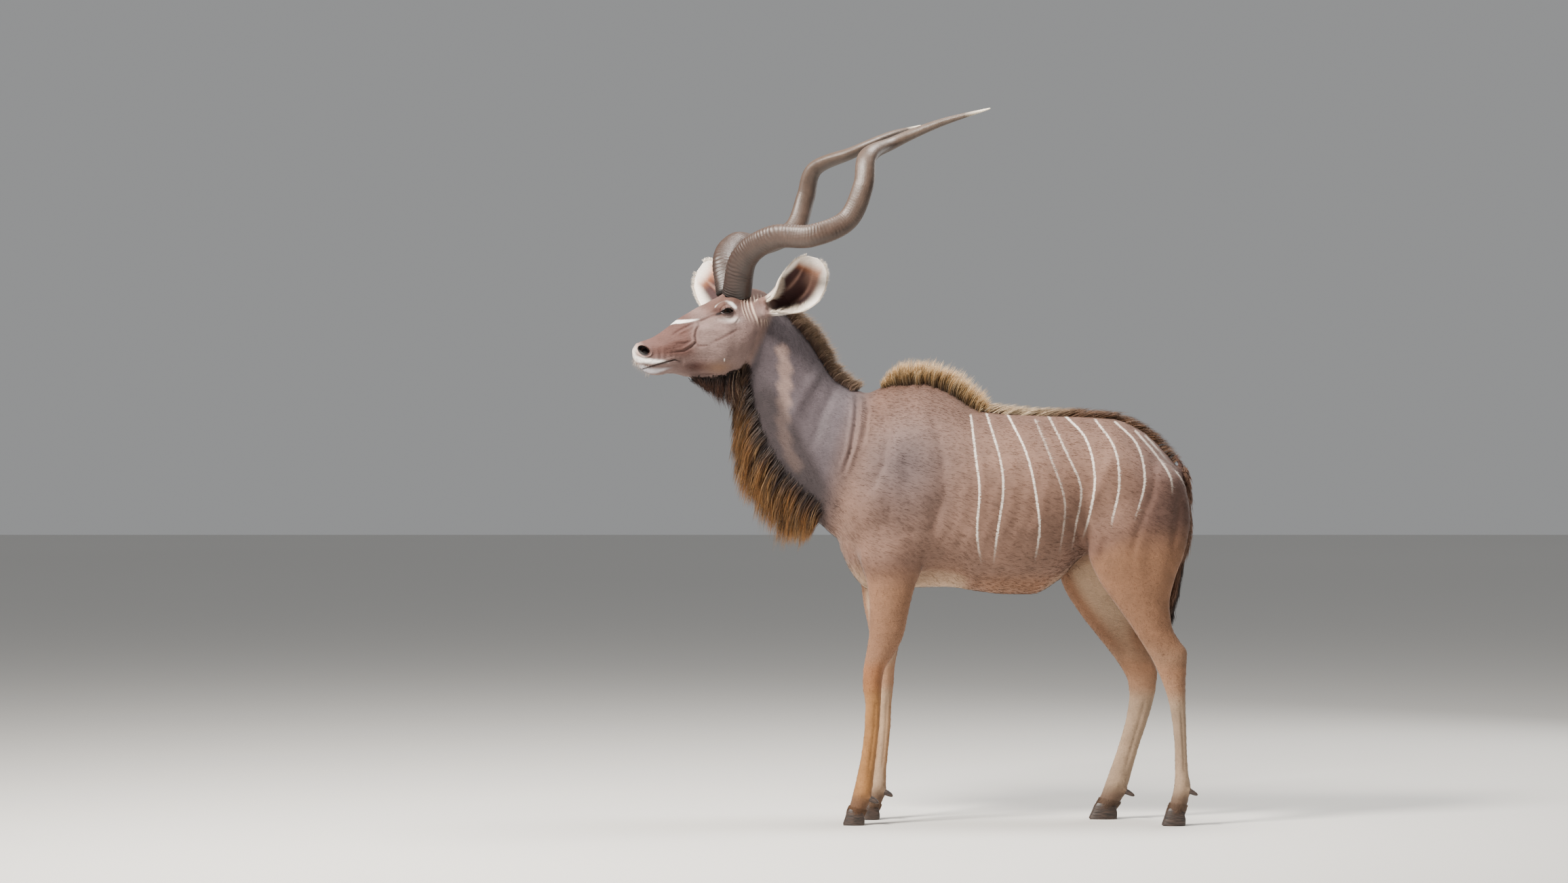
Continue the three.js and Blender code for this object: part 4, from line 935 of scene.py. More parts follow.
def refined(points: Array, faces: Array, chosen: Array) -> Mesh:
    """Split the chosen triangles in four, and their neighbours to match.

    Args:
        points: The mesh's points.
        faces: Its triangles.
        chosen: Which triangles to split.

    Returns:
        The finer mesh's points and triangles.
    """
    edges = np.sort(np.stack([faces, np.roll(faces, -1, axis=1)], axis=-1), axis=-1)
    key = edges[..., 0] * len(points) + edges[..., 1]
    split = np.unique(key[chosen])
    found = np.isin(key, split)
    middle = np.where(found, np.searchsorted(split, key) + len(points), -1)
    fresh = (points[split // len(points)] + points[split % len(points)]) / 2
    count = found.sum(axis=1)
    whole, m = faces[count == 3], middle[count == 3]
    kept = [faces[count == 0], *(np.stack([whole[:, k], m[:, k], m[:, k - 1]], axis=1) for k in range(3)), m]
    for turn in range(3):
        order = [(turn + k) % 3 for k in range(3)]
        rows = (count == 1) & found[:, turn]
        a, b, c = faces[rows][:, order].T
        ab = middle[rows][:, turn]
        kept += [np.stack(corners, axis=1) for corners in ((a, ab, c), (ab, b, c))]
        rows = (count == 2) & ~found[:, turn]
        a, b, c = faces[rows][:, order].T
        _, bc, ca = middle[rows][:, order].T
        kept += [np.stack(corners, axis=1) for corners in ((a, b, bc), (a, bc, ca), (ca, bc, c))]
    return np.concatenate([points, fresh]), np.concatenate(kept)


@dataclass
class Ear:
    """One ear: a cupped leaf of skin, thin at the rim, with ribs inside."""

    side: int
    rings: int = 72
    arc: int = 44
    thickness: float = 4.5
    start: float = 0.12  # the share of the length where the thin part starts, inside the thick root
    root_end: float = 0.36
    rib_height: float = 2.4
    back: str = "#644b42"
    inner: str = "#2a0a0a"
    inner_pale: str = "#b58d7c"
    rim: str = "#e6dbd0"
    warm: str = "#a8683f"

    def frame(self, share: Array) -> tuple[Array, Array, Array, Array]:
        """The middle line of the ear, in the head's frame.

        Args:
            share: Places along it, from 0 at the root to 1 at the tip.

        Returns:
            Its centre, the way along it, the way it opens and the way across.
        """
        root, elbow, tip, opening = (np.array(p, float) for p in EARS[self.side])
        s = share[:, None]
        centre = (1 - s) ** 2 * root + 2 * s * (1 - s) * elbow + s * s * tip
        along = unit(2 * (1 - s) * (elbow - root) + 2 * s * (tip - elbow))
        facing = unit(opening - (along @ opening)[:, None] * along)
        return centre, along, facing, np.cross(along, facing)

    def curl(self, share: Array) -> tuple[Array, Array, Array]:
        """How the cup curls at each place: radius, half angle, and how far its back lies behind."""
        read = Reader(EAR_CURL)
        row = read(np.interp(np.maximum(share, 0), read.values[:, 0], np.arange(len(EAR_CURL))))
        bow = EAR_BOW * np.sin(math.pi * np.clip(share, 0, 1)) + EAR_BACK * (1 - np.maximum(share, 0))
        return row[:, 1], np.radians(row[:, 2]), bow

    def shell(self) -> tuple[Array, Array, Array]:
        """Shape and colour the ear: points in the body's frame, triangles and the colour of each point."""
        share = np.linspace(self.start, 0.995, self.rings)
        swing = np.linspace(-1, 1, self.arc)
        rounded = self.thickness * (0.35 + 0.65 * np.sqrt(np.clip(1 - swing ** 4, 0, 1)))
        thin = rounded[None, :] * smoothstep(1.06, 0.8, share)[:, None] + 0.6
        # A swelling over the end of the root
        swell = (smoothstep(0.24, 0.33, share) * smoothstep(0.62, 0.38, share))[:, None]
        thin = thin + 3.0 * swell + self.ribs(share[:, None], swing[None, :])
        return *self.cup(share, swing, -2.0 * swell * np.ones(self.arc), thin), self.colours(share, swing)

    def root(self) -> Mesh:
        """The thick lower part of the cup, which is fused with the head."""
        share = np.linspace(-0.1, self.root_end, 40)
        extra = 3.4 * smoothstep(self.root_end, 0.05, share)[:, None] * np.ones(self.arc)
        return self.cup(share, np.linspace(-1, 1, self.arc) * 0.97, -extra, self.thickness + extra)

    def cup(self, share: Array, swing: Array, outer: Array, inner: Array) -> Mesh:
        """A cup of two layers.

        Args:
            share: Places along the ear.
            swing: Places round its curl, from -1 to 1.
            outer: How far the outer layer lies inside the ear's back.
            inner: How far the inner layer lies inside it.

        Returns:
            Points in the body's frame and triangles.
        """
        radius, half, bow = self.curl(share)
        centre, _, facing, across = self.frame(share)
        angle = half[:, None] * swing[None, :]
        layers = []
        for inward in (outer, inner):
            curl = radius[:, None] - inward
            layers.append(centre[:, None] + across[:, None] * (curl * np.sin(angle))[..., None]
                          + facing[:, None] * (inward - bow[:, None] + curl * (1 - np.cos(angle)))[..., None])
        points, faces = closed_rings(np.concatenate([layers[0], layers[1][:, ::-1]], axis=1), folded=True)
        return head_to_body(points), faces

    def stem(self) -> Mesh:
        """The fleshy root of the ear."""
        centre, along, facing, across = (v[0] for v in self.frame(np.zeros(1)))
        curl = EAR_CURL[0][1]
        inner = np.array([centre[0] - 28, centre[1] * 0.3, centre[2] - 22])
        outer = centre + facing * (curl - EAR_BACK) + along * 6
        t = np.linspace(0, 1, 24)[:, None]
        path = (1 - t) ** 2 * outer + 2 * t * (1 - t) * (outer - along * 24) + t * t * inner
        radius = np.where(t < 0.12, (curl + 1) * (0.55 + 0.45 * np.sqrt(t / 0.12)), curl + 1 + 8 * t)
        points, faces = closed_rings(tube(path, radius, facing, across, 40))
        return head_to_body(points), faces

    def ribs(self, share: Array, swing: Array) -> Array:
        """Raised ribs that run up the inside of the cup."""
        lift = sum(np.exp(-((swing - at - 0.25 * np.sin(3 * share)) / 0.06) ** 2) for at in (-0.42, 0.12))
        return self.rib_height * lift * smoothstep(0.27, 0.5, share) * smoothstep(0.95, 0.7, share)

    def colours(self, share: Array, swing: Array) -> Array:
        """The colour of each point: coat outside, dark red skin inside and a pale rim."""
        s, w = (grid.ravel() for grid in np.meshgrid(share, swing, indexing="ij"))
        outer_edge = np.maximum(smoothstep(0.82, 0.99, np.abs(w)), smoothstep(0.92, 1.0, s))
        outside = mixed(plain(self.back, len(s)), self.rim, 0.8 * outer_edge)
        inside = layered(plain(self.inner, len(s)), (
            (self.inner_pale, 0.9 * smoothstep(0.5, 0.95, s) * smoothstep(-0.2, 0.5, w)),
            (self.warm, 0.75 * smoothstep(0.72, 0.92, s)),
            (self.inner_pale, 0.3 * np.clip(self.ribs(s, w) / self.rib_height, 0, 1)),
            (self.rim, np.maximum(smoothstep(0.5, 0.9, np.abs(w)), smoothstep(0.8, 0.96, s)))))
        outside, inside = (grid.reshape(self.rings, self.arc, 3) for grid in (outside, inside))
        return np.concatenate([outside, inside[:, ::-1]], axis=1).reshape(-1, 3)

    def paint_root(self, colour: Array, local: Array) -> Array:
        """Colour the cup where it is part of the head: dark red inside and pale towards the rims.

        Args:
            colour: The colour of each point of the skin.
            local: The points in the head's frame.

        Returns:
            The colours with the cup's.
        """
        share = np.linspace(0, 0.5, 60)
        centre, _, facing, across = self.frame(share)
        near = (local[:, 1] * self.side > 60) & (local[:, 2] > -40)
        far = ((local[near][:, None] - centre[None]) ** 2).sum(axis=2)
        row = far.argmin(axis=1)
        share, offset = share[row], local[near] - centre[row]
        radius = np.interp(share, [c[0] for c in EAR_CURL], [c[1] for c in EAR_CURL])
        ahead = (offset * facing[row]).sum(axis=1) + self.curl(share)[2]
        beside = (offset * across[row]).sum(axis=1)
        curl = np.hypot(beside, ahead - radius)
        inside = smoothstep(radius - 1.0, radius - 4.0, curl) * smoothstep(0.06, 0.16, share)
        open_front = smoothstep(0.35, 0.85, ahead / (2 * radius))
        pale = 0.6 * open_front * smoothstep(0.0, 0.1, share) * (far.min(axis=1) < 90 ** 2)
        painted = colour.copy()
        painted[near] = layered(colour[near], ((self.inner, inside * (1 - open_front)), (self.rim, pale)))
        return painted


@dataclass(frozen=True)
class Almond:
    """The opening between the lids of an eye, in millimetres."""

    half_length: float = 22.0
    rise: float = 10.5
    drop: float = 9.5
    tilt: float = 0.1

    def depth(self, a: Array, b: Array) -> Array:
        """How far inside the opening a place lies, a behind and b above the eye's middle."""
        level = b - self.tilt * a
        arch = np.clip(1 - (a / self.half_length) ** 2, -1, 1)
        return np.minimum(self.rise * arch - level, level + self.drop * arch)

    def edge(self, a: Array, upper: bool) -> Array:
        """Places on a lid's edge, in the head's frame on the right side, for places along the eye."""
        b = self.tilt * a + (self.rise if upper else -self.drop) * (1 - (a / self.half_length) ** 2)
        bulge = np.sqrt(np.clip((EYE_RADIUS + 1.6) ** 2 - np.hypot(a, b) ** 2, 60, None))
        return np.stack([EYE_AT[0] + a, EYE_AT[1] + bulge, EYE_AT[2] + b], axis=1)


ALMOND = Almond()


@dataclass
class Hide:
    """The one skin over torso, neck, head, tail, legs and ears."""

    voxel: float = 5.2
    crease_passes: int = 70
    lid_thickness: float = 2.6
    eye_recess: float = 4.0  # from the eye's middle out to the skin that the opening clears away
    fold_height: float = 2.4
    nostril_depth: float = 31.0
    mouth_depth: float = 4.2
    groove_depth: float = 3.0  # in front of the tendons of a leg
    points: Array = field(init=False)
    faces: Array = field(init=False)
    normals: Array = field(init=False)

    def lofts(self) -> list[Mesh]:
        """The lofts of the solids, lowered by the depth of the coat."""
        return [TORSO_SURFACE.shell(160, 96), NECK_SURFACE.shell(90, 72), HEAD_SURFACE.shell(150, 80),
                TAIL_SURFACE.shell(90, 32),
                *(Loft(rows, Build.LIMB, side, BODY_FORMS, shrink=2.0).shell(140, 48)
                  for rows, side in LEGS.values())]

    def build(self) -> None:
        """Fuse, soften and sculpt the skin."""
        shells = self.lofts()
        for side in SIDES:
            shells += [Ear(side).stem(), Ear(side).root(), Horn(side).pedicle()]
        shells += [Dewclaws(name).pad(lateral) for name in LEGS for lateral in SIDES]
        points, faces = fused(shells, self.voxel)
        points = self.soften(points, faces)
        middle = points[faces].mean(axis=1)
        points, faces = refined(points, faces, (body_to_head(middle)[:, 0] < 40) & (Zones(middle).head > 0.4))
        u, _, w = body_to_head(points[faces].mean(axis=1)).T
        near_eye = np.maximum(np.abs(u + 155), np.abs(w - 18)) < 36
        near_nose = (u < -385) & (u > -460)
        points, faces = refined(points, faces, (near_eye | near_nose) & (u < -60) & (w > -150))
        points = smoothed(points, edges_of(faces), 0.4 * Zones(points).head, 6)
        self.points, self.faces = self.sculpt(points, point_normals(points, faces)), faces
        self.normals = point_normals(self.points, faces)

    def soften(self, points: Array, faces: Array) -> Array:
        """Smooth the steps of the voxels, and fill the creases where parts meet."""
        edges = edges_of(faces)
        even = np.full(len(points), 0.5)
        points = smoothed(points, edges, even, 5)
        inward = smoothed(points, edges, np.ones(len(points)), 1) - points
        dip = (inward * point_normals(points, faces)).sum(axis=1)
        spread = smoothed(np.clip(dip / 0.12, 0, 1)[:, None], edges, even, 14)
        weight = np.clip(spread[:, 0] * 5, 0, 1) * 0.6 * smoothstep(60, 110, points[:, 2])
        return smoothed(points, edges, weight, self.crease_passes)

    def sculpt(self, points: Array, normals: Array) -> Array:
        """Raise the muscles, veins and folds, and open the eyes, nostrils and mouth."""
        local = body_to_head(points)
        head = Zones(points).head
        lift = (1 - head) * sum(form.push(points) for form in BODY_RELIEF + BODY_CREASES)
        lift += head * sum(form.push(local) for form in HEAD_CREASES + HEAD_RELIEF)
        lift += head * (self.fold_height * fold_field(local) + self.muzzle_relief(local))
        lift += self.leg_relief(points)
        points = points + normals * lift[:, None]
        local = body_to_head(points)
        hollow = self.nostril_depth * smoothstep(1.04, 0.55, nostril_ring(local))
        local[:, 1] -= np.sign(local[:, 1]) * np.minimum(hollow, np.abs(local[:, 1]) - 6).clip(0)
        local[:, 0] += 0.35 * hollow
        return np.where(head[:, None] > 0.5, head_to_body(self.open_eyes(local)), points)

    def leg_relief(self, points: Array) -> Array:
        """The furrow in front of the tendons along the lower legs."""
        x, y, z = points.T
        lift = np.zeros(len(points))
        for rows, side in LEGS.values():
            front, rear = leg_edges(rows, z)
            depth = (x - front) / (rear - front)
            own = (y * side > 40) & (z < 640) & (depth > -0.3) & (depth < 1.3)
            cannon = smoothstep(150, 200, z) * smoothstep(430, 360, z)
            lift -= own * self.groove_depth * np.exp(-((depth - 0.64) / 0.09) ** 2) * cannon
        return lift

    def muzzle_relief(self, local: Array) -> Array:
        """The line of the mouth, the nostrils and the furrows of the lip, as lifts along the way out."""
        far, share = line_distance(local[:, [0, 2]], np.array(MOUTH_LINE, float))
        front = smoothstep(-292, -304, local[:, 0])
        lift = -self.mouth_depth * np.exp(-(far / 2.4) ** 2) * front * smoothstep(0.0, 0.08, share + 0.04)
        lift += 1.6 * np.exp(-((far - 6) / 4) ** 2) * front
        lift += 2.6 * np.exp(-((nostril_ring(local) - 1.22) / 0.17) ** 2)
        return lift + 0.8 * np.sin(local[:, 0] / 3.2) * blob(local, (-365, 44, -120), (34, 22, 20))

    def open_eyes(self, local: Array) -> Array:
        """Drape the lids over the eyes and leave an almond opening."""
        a, b = local[:, 0] - EYE_AT[0], local[:, 2] - EYE_AT[2]
        far = np.hypot(a, b)
        depth = np.abs(local[:, 1])
        near = (far < 44) & (depth > 40)
        lid = EYE_RADIUS + self.lid_thickness
        ball = EYE_AT[1] + np.sqrt(np.clip(lid ** 2 - far ** 2, 0, None))
        hood = EYE_AT[1] + 12 - 0.25 * np.clip(far - 20, 0, None)
        drape = np.where(far < lid, np.maximum(ball, hood), hood)
        keep = smoothstep(24, 42, far)
        shaped = depth * keep + np.maximum(depth * 0.3 + drape * 0.7, drape) * (1 - keep)
        shut = smoothstep(-0.6, 1.4, ALMOND.depth(a, b))
        shaped = shaped * (1 - shut) + np.minimum(shaped, EYE_AT[1] + self.eye_recess) * shut
        depth = np.where(near, shaped, depth)
        return np.stack([local[:, 0], np.sign(local[:, 1]) * depth, local[:, 2]], axis=1)

    def dress(self, name: str, material: Material) -> None:
        """Make the skin with its ears, colour it and let it stand for the flesh.

        Args:
            name: The piece's name.
            material: The finish of the coat.
        """
        self.build()
        ears = [Ear(side).shell() for side in SIDES]
        colour, marks = MARKINGS.pelt(self.points)
        whole = joined([(self.points, self.faces)] + [(points, faces) for points, faces, _ in ears])
        piece = new_piece(name, whole, material, "coat", *FLESH)
        paint_points(piece, "Pelt", np.concatenate([colour] + [shade for _, _, shade in ears]))
        ear_marks = np.tile([1.0, 0.0, 0.5], (len(whole[0]) - len(marks), 1))
        paint_points(piece, "Marks", np.concatenate([marks, ear_marks]))


def leg_edges(rows: tuple, height: Array) -> tuple[Array, Array]:
    """The front and the rear of a leg, as places along the body, at each height."""
    table = np.array(rows, float)
    level = (table[:, 1] + table[:, 3]) / 2
    order = np.argsort(level)
    return tuple(np.interp(height, level[order], table[order, k]) for k in (0, 2))


def unwrap(points: Array) -> Array:
    """Lay the skin out flat: one field for the trunk, one for the head and one for each leg.

    Args:
        points: Places on or near the skin, in the body's frame.

    Returns:
        Their places on the flat skin, between 0 and 1.
    """
    zone = Zones(points)

    def share_round(across: Array, up: Array) -> Array:
        """The share of a turn."""
        return np.arctan2(across, up) / (2 * math.pi) + 0.5

    middle = np.interp(zone.x, (-560, -300, -100, 300, 880), (1420, 1200, 1080, 1050, 1080))
    flat = np.stack([(zone.x + 620) / 1560, 0.5 + 0.5 * share_round(zone.y, zone.z - middle)], axis=1)
    u, side, w = zone.local.T
    on_head = np.stack([(u + 470) / 1500, 0.26 + 0.22 * share_round(side, w + 80 + 0.25 * (u + 200))], axis=1)
    flat = np.where(zone.head[:, None] > 0.5, on_head, flat)
    for place, (rows, leg_side) in enumerate(LEGS.values()):
        turn = share_round(zone.y - leg_side * 100, zone.x - sum(leg_edges(rows, zone.z)) / 2)
        own = ((zone.fore if place < 2 else zone.hind) > 0.5) & (zone.y * leg_side > 0)
        spot = np.stack([0.02 + zone.z / 1100, 0.01 + 0.06 * place + 0.05 * turn], axis=1)
        flat = np.where(own[:, None], spot, flat)
    return np.clip(flat, 0.0, 0.997)


class Draw:
    """Seeded random numbers for one piece of coat."""

    def __init__(self, seed: int) -> None:
        """Start from a seed."""
        self.source = np.random.default_rng(seed)

    def even(self, count: int, low: float = 0.0, high: float = 1.0) -> Array:
        """Even draws between two limits."""
        return self.source.uniform(low, high, count)

    def near(self, count: int, spread: float) -> Array:
        """Numbers that stray about nought."""
        return self.source.normal(0, spread, count)

    def around(self, count: int, spread: float = 1.0) -> Array:
        """Vectors that stray about nought."""
        return self.source.normal(0, spread, (count, 3))


def shades(draw: Draw, codes: tuple, pick: Array, spread: float = 0.14) -> Array:
    """Colours read from a row of colours, each strand a little lighter or darker.

    Args:
        draw: Random numbers.
        codes: sRGB hex colours in order.
        pick: Place in the row of each strand, from 0 to 1.
        spread: How much the brightness strays.

    Returns:
        A linear colour for each strand.
    """
    table = np.array([linear(code) for code in codes])
    place = np.clip(pick, 0, 1) * (len(codes) - 1)
    colour = np.stack([np.interp(place, np.arange(len(codes)), column) for column in table.T], axis=1)
    return colour * (1 + draw.even(len(pick), -spread, spread))[:, None]


def bowed(root: Array, tip: Array, way: tuple) -> Array:
    """The bend of each strand: its middle, pushed by its length along a way."""
    return (root + tip) / 2 + np.linalg.norm(tip - root, axis=1)[:, None] * np.array(way)


@dataclass
class Coat:
    """Hairs or tufts gathered into one mesh, each a thin bent strand of three sides with a point."""

    name: str
    rings: int = 3
    turn: float = 1.0  # above 1 the root's colour reaches further along the hair
    roundness: float = 0.3  # how much a short hair's own roundness shows in its shading
    taper: float = 0.72
    strands: list = field(default_factory=list)

    def add(self, root: Array, bend: Array, tip: Array, width: Array, root_colour: Array, tip_colour: Array,
            marks: Array | None = None, out: Array | None = None) -> None:
        """Gather strands.

        Args:
            root: Where each starts, in the body's frame.
            bend: The point each leans towards on its way.
            tip: Where each ends.
            width: Thickness of each at its root.
            root_colour: Linear colour of each at its root.
            tip_colour: Linear colour of each at its tip.
            marks: The skin's marks at each root, where it has any.
            out: The way out of the skin at each root, for short hair that is shaded with its skin.
        """
        if marks is None:
            marks, out = np.tile([1.0, 0.0, 0.0], (len(root), 1)), np.zeros((len(root), 3))
        self.strands.append((root, bend, tip, width, root_colour, tip_colour, marks, out))

    def add_toned(self, draw: Draw, strands: tuple, width: tuple, roots: tuple, tips: tuple) -> None:
        """Gather strands that take one tone each.

        Args:
            draw: Random numbers.
            strands: Root, bend and tip of each.
            width: The thinnest and the thickest.
            roots: sRGB hex colours at the root, by tone.
            tips: The same at the tip.
        """
        count = len(strands[0])
        tone = draw.even(count)
        self.add(*strands[:3], draw.even(count, *width), shades(draw, roots, tone), shades(draw, tips, tone))

    def build(self, material: Material, slot: str = "coat") -> None:
        """Make the mesh.

        Args:
            material: The finish of the hairs.
            slot: A name passed on to new_piece, which does not use it.
        """
        root, bend, tip, width, low, high, marks, out = (np.concatenate(part) for part in zip(*self.strands))
        count = len(root)
        along = np.linspace(0, 1, self.rings + 1)
        t = along[None, :, None]
        path = (1 - t) ** 2 * root[:, None] + 2 * t * (1 - t) * bend[:, None] + t * t * tip[:, None]
        tangent = unit(2 * (1 - t) * (bend - root)[:, None] + 2 * t * (tip - bend)[:, None])
        helper = np.where(np.abs(tangent[:, :1, 1:2]) < 0.8, np.array([0, 1.0, 0]), np.array([1.0, 0, 0]))
        side = unit(np.cross(tangent, np.broadcast_to(helper, tangent.shape)))
        up = np.cross(tangent, side)
        radius = width[:, None] / 2 * (1 - self.taper * along ** 1.4)[None, :]
        corner = np.array([0.0, 2.1, 4.2])
        ring = (path[:, :-1, None] + radius[:, :-1, None, None]
                * (np.cos(corner)[:, None] * side[:, :-1, None] + np.sin(corner)[:, None] * up[:, :-1, None]))
        points = np.concatenate([ring.reshape(count, -1, 3), path[:, -1:]], axis=1)
        stride = points.shape[1]
        corners = (self.strand_faces()[None] + (np.arange(count) * stride)[:, None, None]).reshape(-1, 3)
        piece = new_piece(self.name, (points.reshape(-1, 3), corners), material, slot)
        if np.abs(out).max() > 0:
            middle = np.concatenate([np.repeat(path[:, :-1], 3, axis=1), path[:, -1:]], axis=1)
            round_it = unit(points - middle)
            shading = unit(round_it * self.roundness + out[:, None])
            piece.data.normals_split_custom_set_from_vertices(shading.reshape(-1, 3).tolist())
        share = np.append(np.repeat(along[:-1], 3), 1.0)
        colour = low[:, None] + (high - low)[:, None] * share[None, :, None] ** self.turn
        paint_points(piece, "Pelt", colour.reshape(-1, 3))
        paint_points(piece, "Marks", np.repeat(marks, stride, axis=0))
        patch = 0.003 * np.stack([share, np.append(np.tile([0.0, 0.5, 1.0], self.rings), 0.5)], axis=1)
        flat = (unwrap(root)[:, None] + patch[None]).reshape(-1, 2)
        layer = piece.data.uv_layers.new(name="OFBake")
        layer.data.foreach_set("uv", flat[corners.ravel()].astype(np.float32).ravel())

    def strand_faces(self) -> Array:
        """The triangles of one strand, by its own point numbers."""
        pairs = ((0, 1), (1, 2), (2, 0))
        faces = [face for ring in range(0, 3 * self.rings - 3, 3) for a, b in pairs
                 for face in ((ring + a, ring + b, ring + b + 3), (ring + a, ring + b + 3, ring + a + 3))]
        last = 3 * (self.rings - 1)
        return np.array(faces + [(last + a, last + b, last + 3) for a, b in pairs])


@dataclass
class Clumps:
    """Long hair that hangs in clumps, each strand close to its clump's tip."""

    per_clump: int = 12
    root_spread: float = 7.0
    tip_spread: float = 3.2
    stray: float = 0.12

    def spread(self, draw: Draw, root: Array, bend: Array, tip: Array) -> tuple[Array, Array, Array, Array]:
        """Turn the middle line of each clump into its strands.

        Args:
            draw: Random numbers.
            root: Root of each clump.
            bend: Bend of each clump.
            tip: Tip of each clump.

        Returns:
            Root, bend and tip of each strand, and the number of its clump.
        """
        owner = np.repeat(np.arange(len(root)), self.per_clump)
        count = len(owner)
        sway = draw.around(count)
        length = np.linalg.norm(tip - root, axis=1)[owner][:, None]
        start = root[owner] + sway * self.root_spread
        end = tip[owner] + draw.around(count, self.tip_spread) + sway * self.tip_spread
        end = start + (end - start) * (1 - self.stray * np.abs(draw.around(count)[:, :1]))
        middle = bend[owner] + sway * self.root_spread * 0.8 + draw.around(count, 1.0) * length * 0.02
        return start, middle, end, owner


THROAT, NAPE = -math.pi / 2, math.pi / 2
NECK_SURFACE = Loft(NECK, Build.NECK)
HEAD_SURFACE = Loft(HEAD, forms=HEAD_FORMS, in_head=True)
TORSO_SURFACE = Loft(TORSO, forms=BODY_FORMS)
TAIL_SURFACE = Loft(TAIL, Build.LIMB, shrink=9.0)


@dataclass
class ThroatMane:
    """The long dark mane under the throat, tan at the tips."""

    clumps: int = 1000
    from_place: float = 2.25
    to_place: float = 10.6
    edge_end: float = 9.3  # the place on the neck where the mane's outer edge ends
    roots: tuple = ("#241b1b", "#2c2120", "#231a1a")
    tips: tuple = ("#94683c", "#bd8241", "#2e2220", "#cfa068", "#3a2a24")

    def build(self, material: Material) -> None:
        """Grow the mane from both sides of the throat line."""
        draw, count = Draw(11), self.clumps
        place = draw.even(count, self.from_place, self.to_place)
        swing = draw.even(count, -0.8, 0.8)
        root, middle = (NECK_SURFACE.points(place, THROAT + turn) for turn in (swing, 0))
        share = np.minimum((place - self.from_place) / (self.edge_end - self.from_place), 1)
        edge = side_line(THROAT_EDGE)(share)
        edge[:, 1] = middle[:, 1] + np.sign(swing) * (6 + 70 * np.abs(swing))
        tip = edge + (middle - edge) * (0.45 * np.abs(swing))[:, None] * np.array([1, 0, 1])
        above = smoothstep(self.edge_end - 0.4, self.to_place, place)[:, None]
        tip = tip * (1 - above) + (root + np.array([-26, 0, -58])) * above
        tip = root + (tip - root) * draw.even(count, 0.55, 1.0)[:, None]
        bend = bowed(root, tip, (-0.16, 0, 0.1)) + draw.around(count, 4)
        *strands, owner = Clumps(12, 6.0, 4.0).spread(draw, root, bend, tip)
        tone = draw.even(count)[owner]
        thick = draw.even(len(owner), 1.1, 2.0)
        low = shades(draw, self.roots, tone)
        high = shades(draw, self.tips, np.clip(tone + draw.even(len(owner), -0.2, 0.2), 0, 1))
        dark = 0.75 * smoothstep(6.6, 9.2, place)[owner][:, None]
        coat = Coat("throat_mane", turn=1.7)
        coat.add(*strands, thick, low, high + (low - high) * dark)
        coat.build(material)


@dataclass
class Beard:
    """The tuft under the chin: black above, reddish at the bottom, with pale curved hairs behind."""

    clumps: int = 250
    from_u: float = -98.0
    to_u: float = -256.0
    roots: tuple = ("#120d0d", "#1d1514")
    tips: tuple = ("#4a2c20", "#1b1413", "#6e4630", "#1b1413")
    pale: tuple = ("#b09a86", "#94775e")

    def build(self, material: Material) -> None:
        """Grow the beard from the underside of the jaw."""
        draw, count = Draw(12), self.clumps
        share = draw.even(count) ** 1.25
        side = draw.even(count, -1, 1)
        u = self.from_u + (self.to_u - self.from_u) * share
        place = np.interp(-u, [-row[2] for row in HEAD], np.arange(len(HEAD)))
        root = body_to_head(HEAD_SURFACE.points(place, THROAT + 0.42 * side))
        edge = side_line(BEARD_EDGE)(share)
        edge[:, 1] = 12 * side
        shortest = 0.5 - 0.25 * smoothstep(0.7, 1.0, share)
        tip = root + (edge - root) * (shortest + (1 - shortest) * draw.even(count))[:, None]
        bend = bowed(root, tip, (-0.12, 0, -0.03)) + draw.around(count, 4.0)
        *strands, owner = Clumps(12, 4.5, 4.6, 0.2).spread(draw, root, bend, tip)
        behind = ((share[owner] < 0.2) & (draw.even(len(owner)) < 0.16))[:, None]
        tone = draw.even(len(owner))
        low, high = (np.where(behind, shades(draw, self.pale, tone), shades(draw, codes, tone))
                     for codes in (self.roots, self.tips))
        coat = Coat("beard")
        coat.add(*(head_to_body(p) for p in strands), draw.even(len(owner), 0.7, 1.4), low, high)
        coat.build(material)


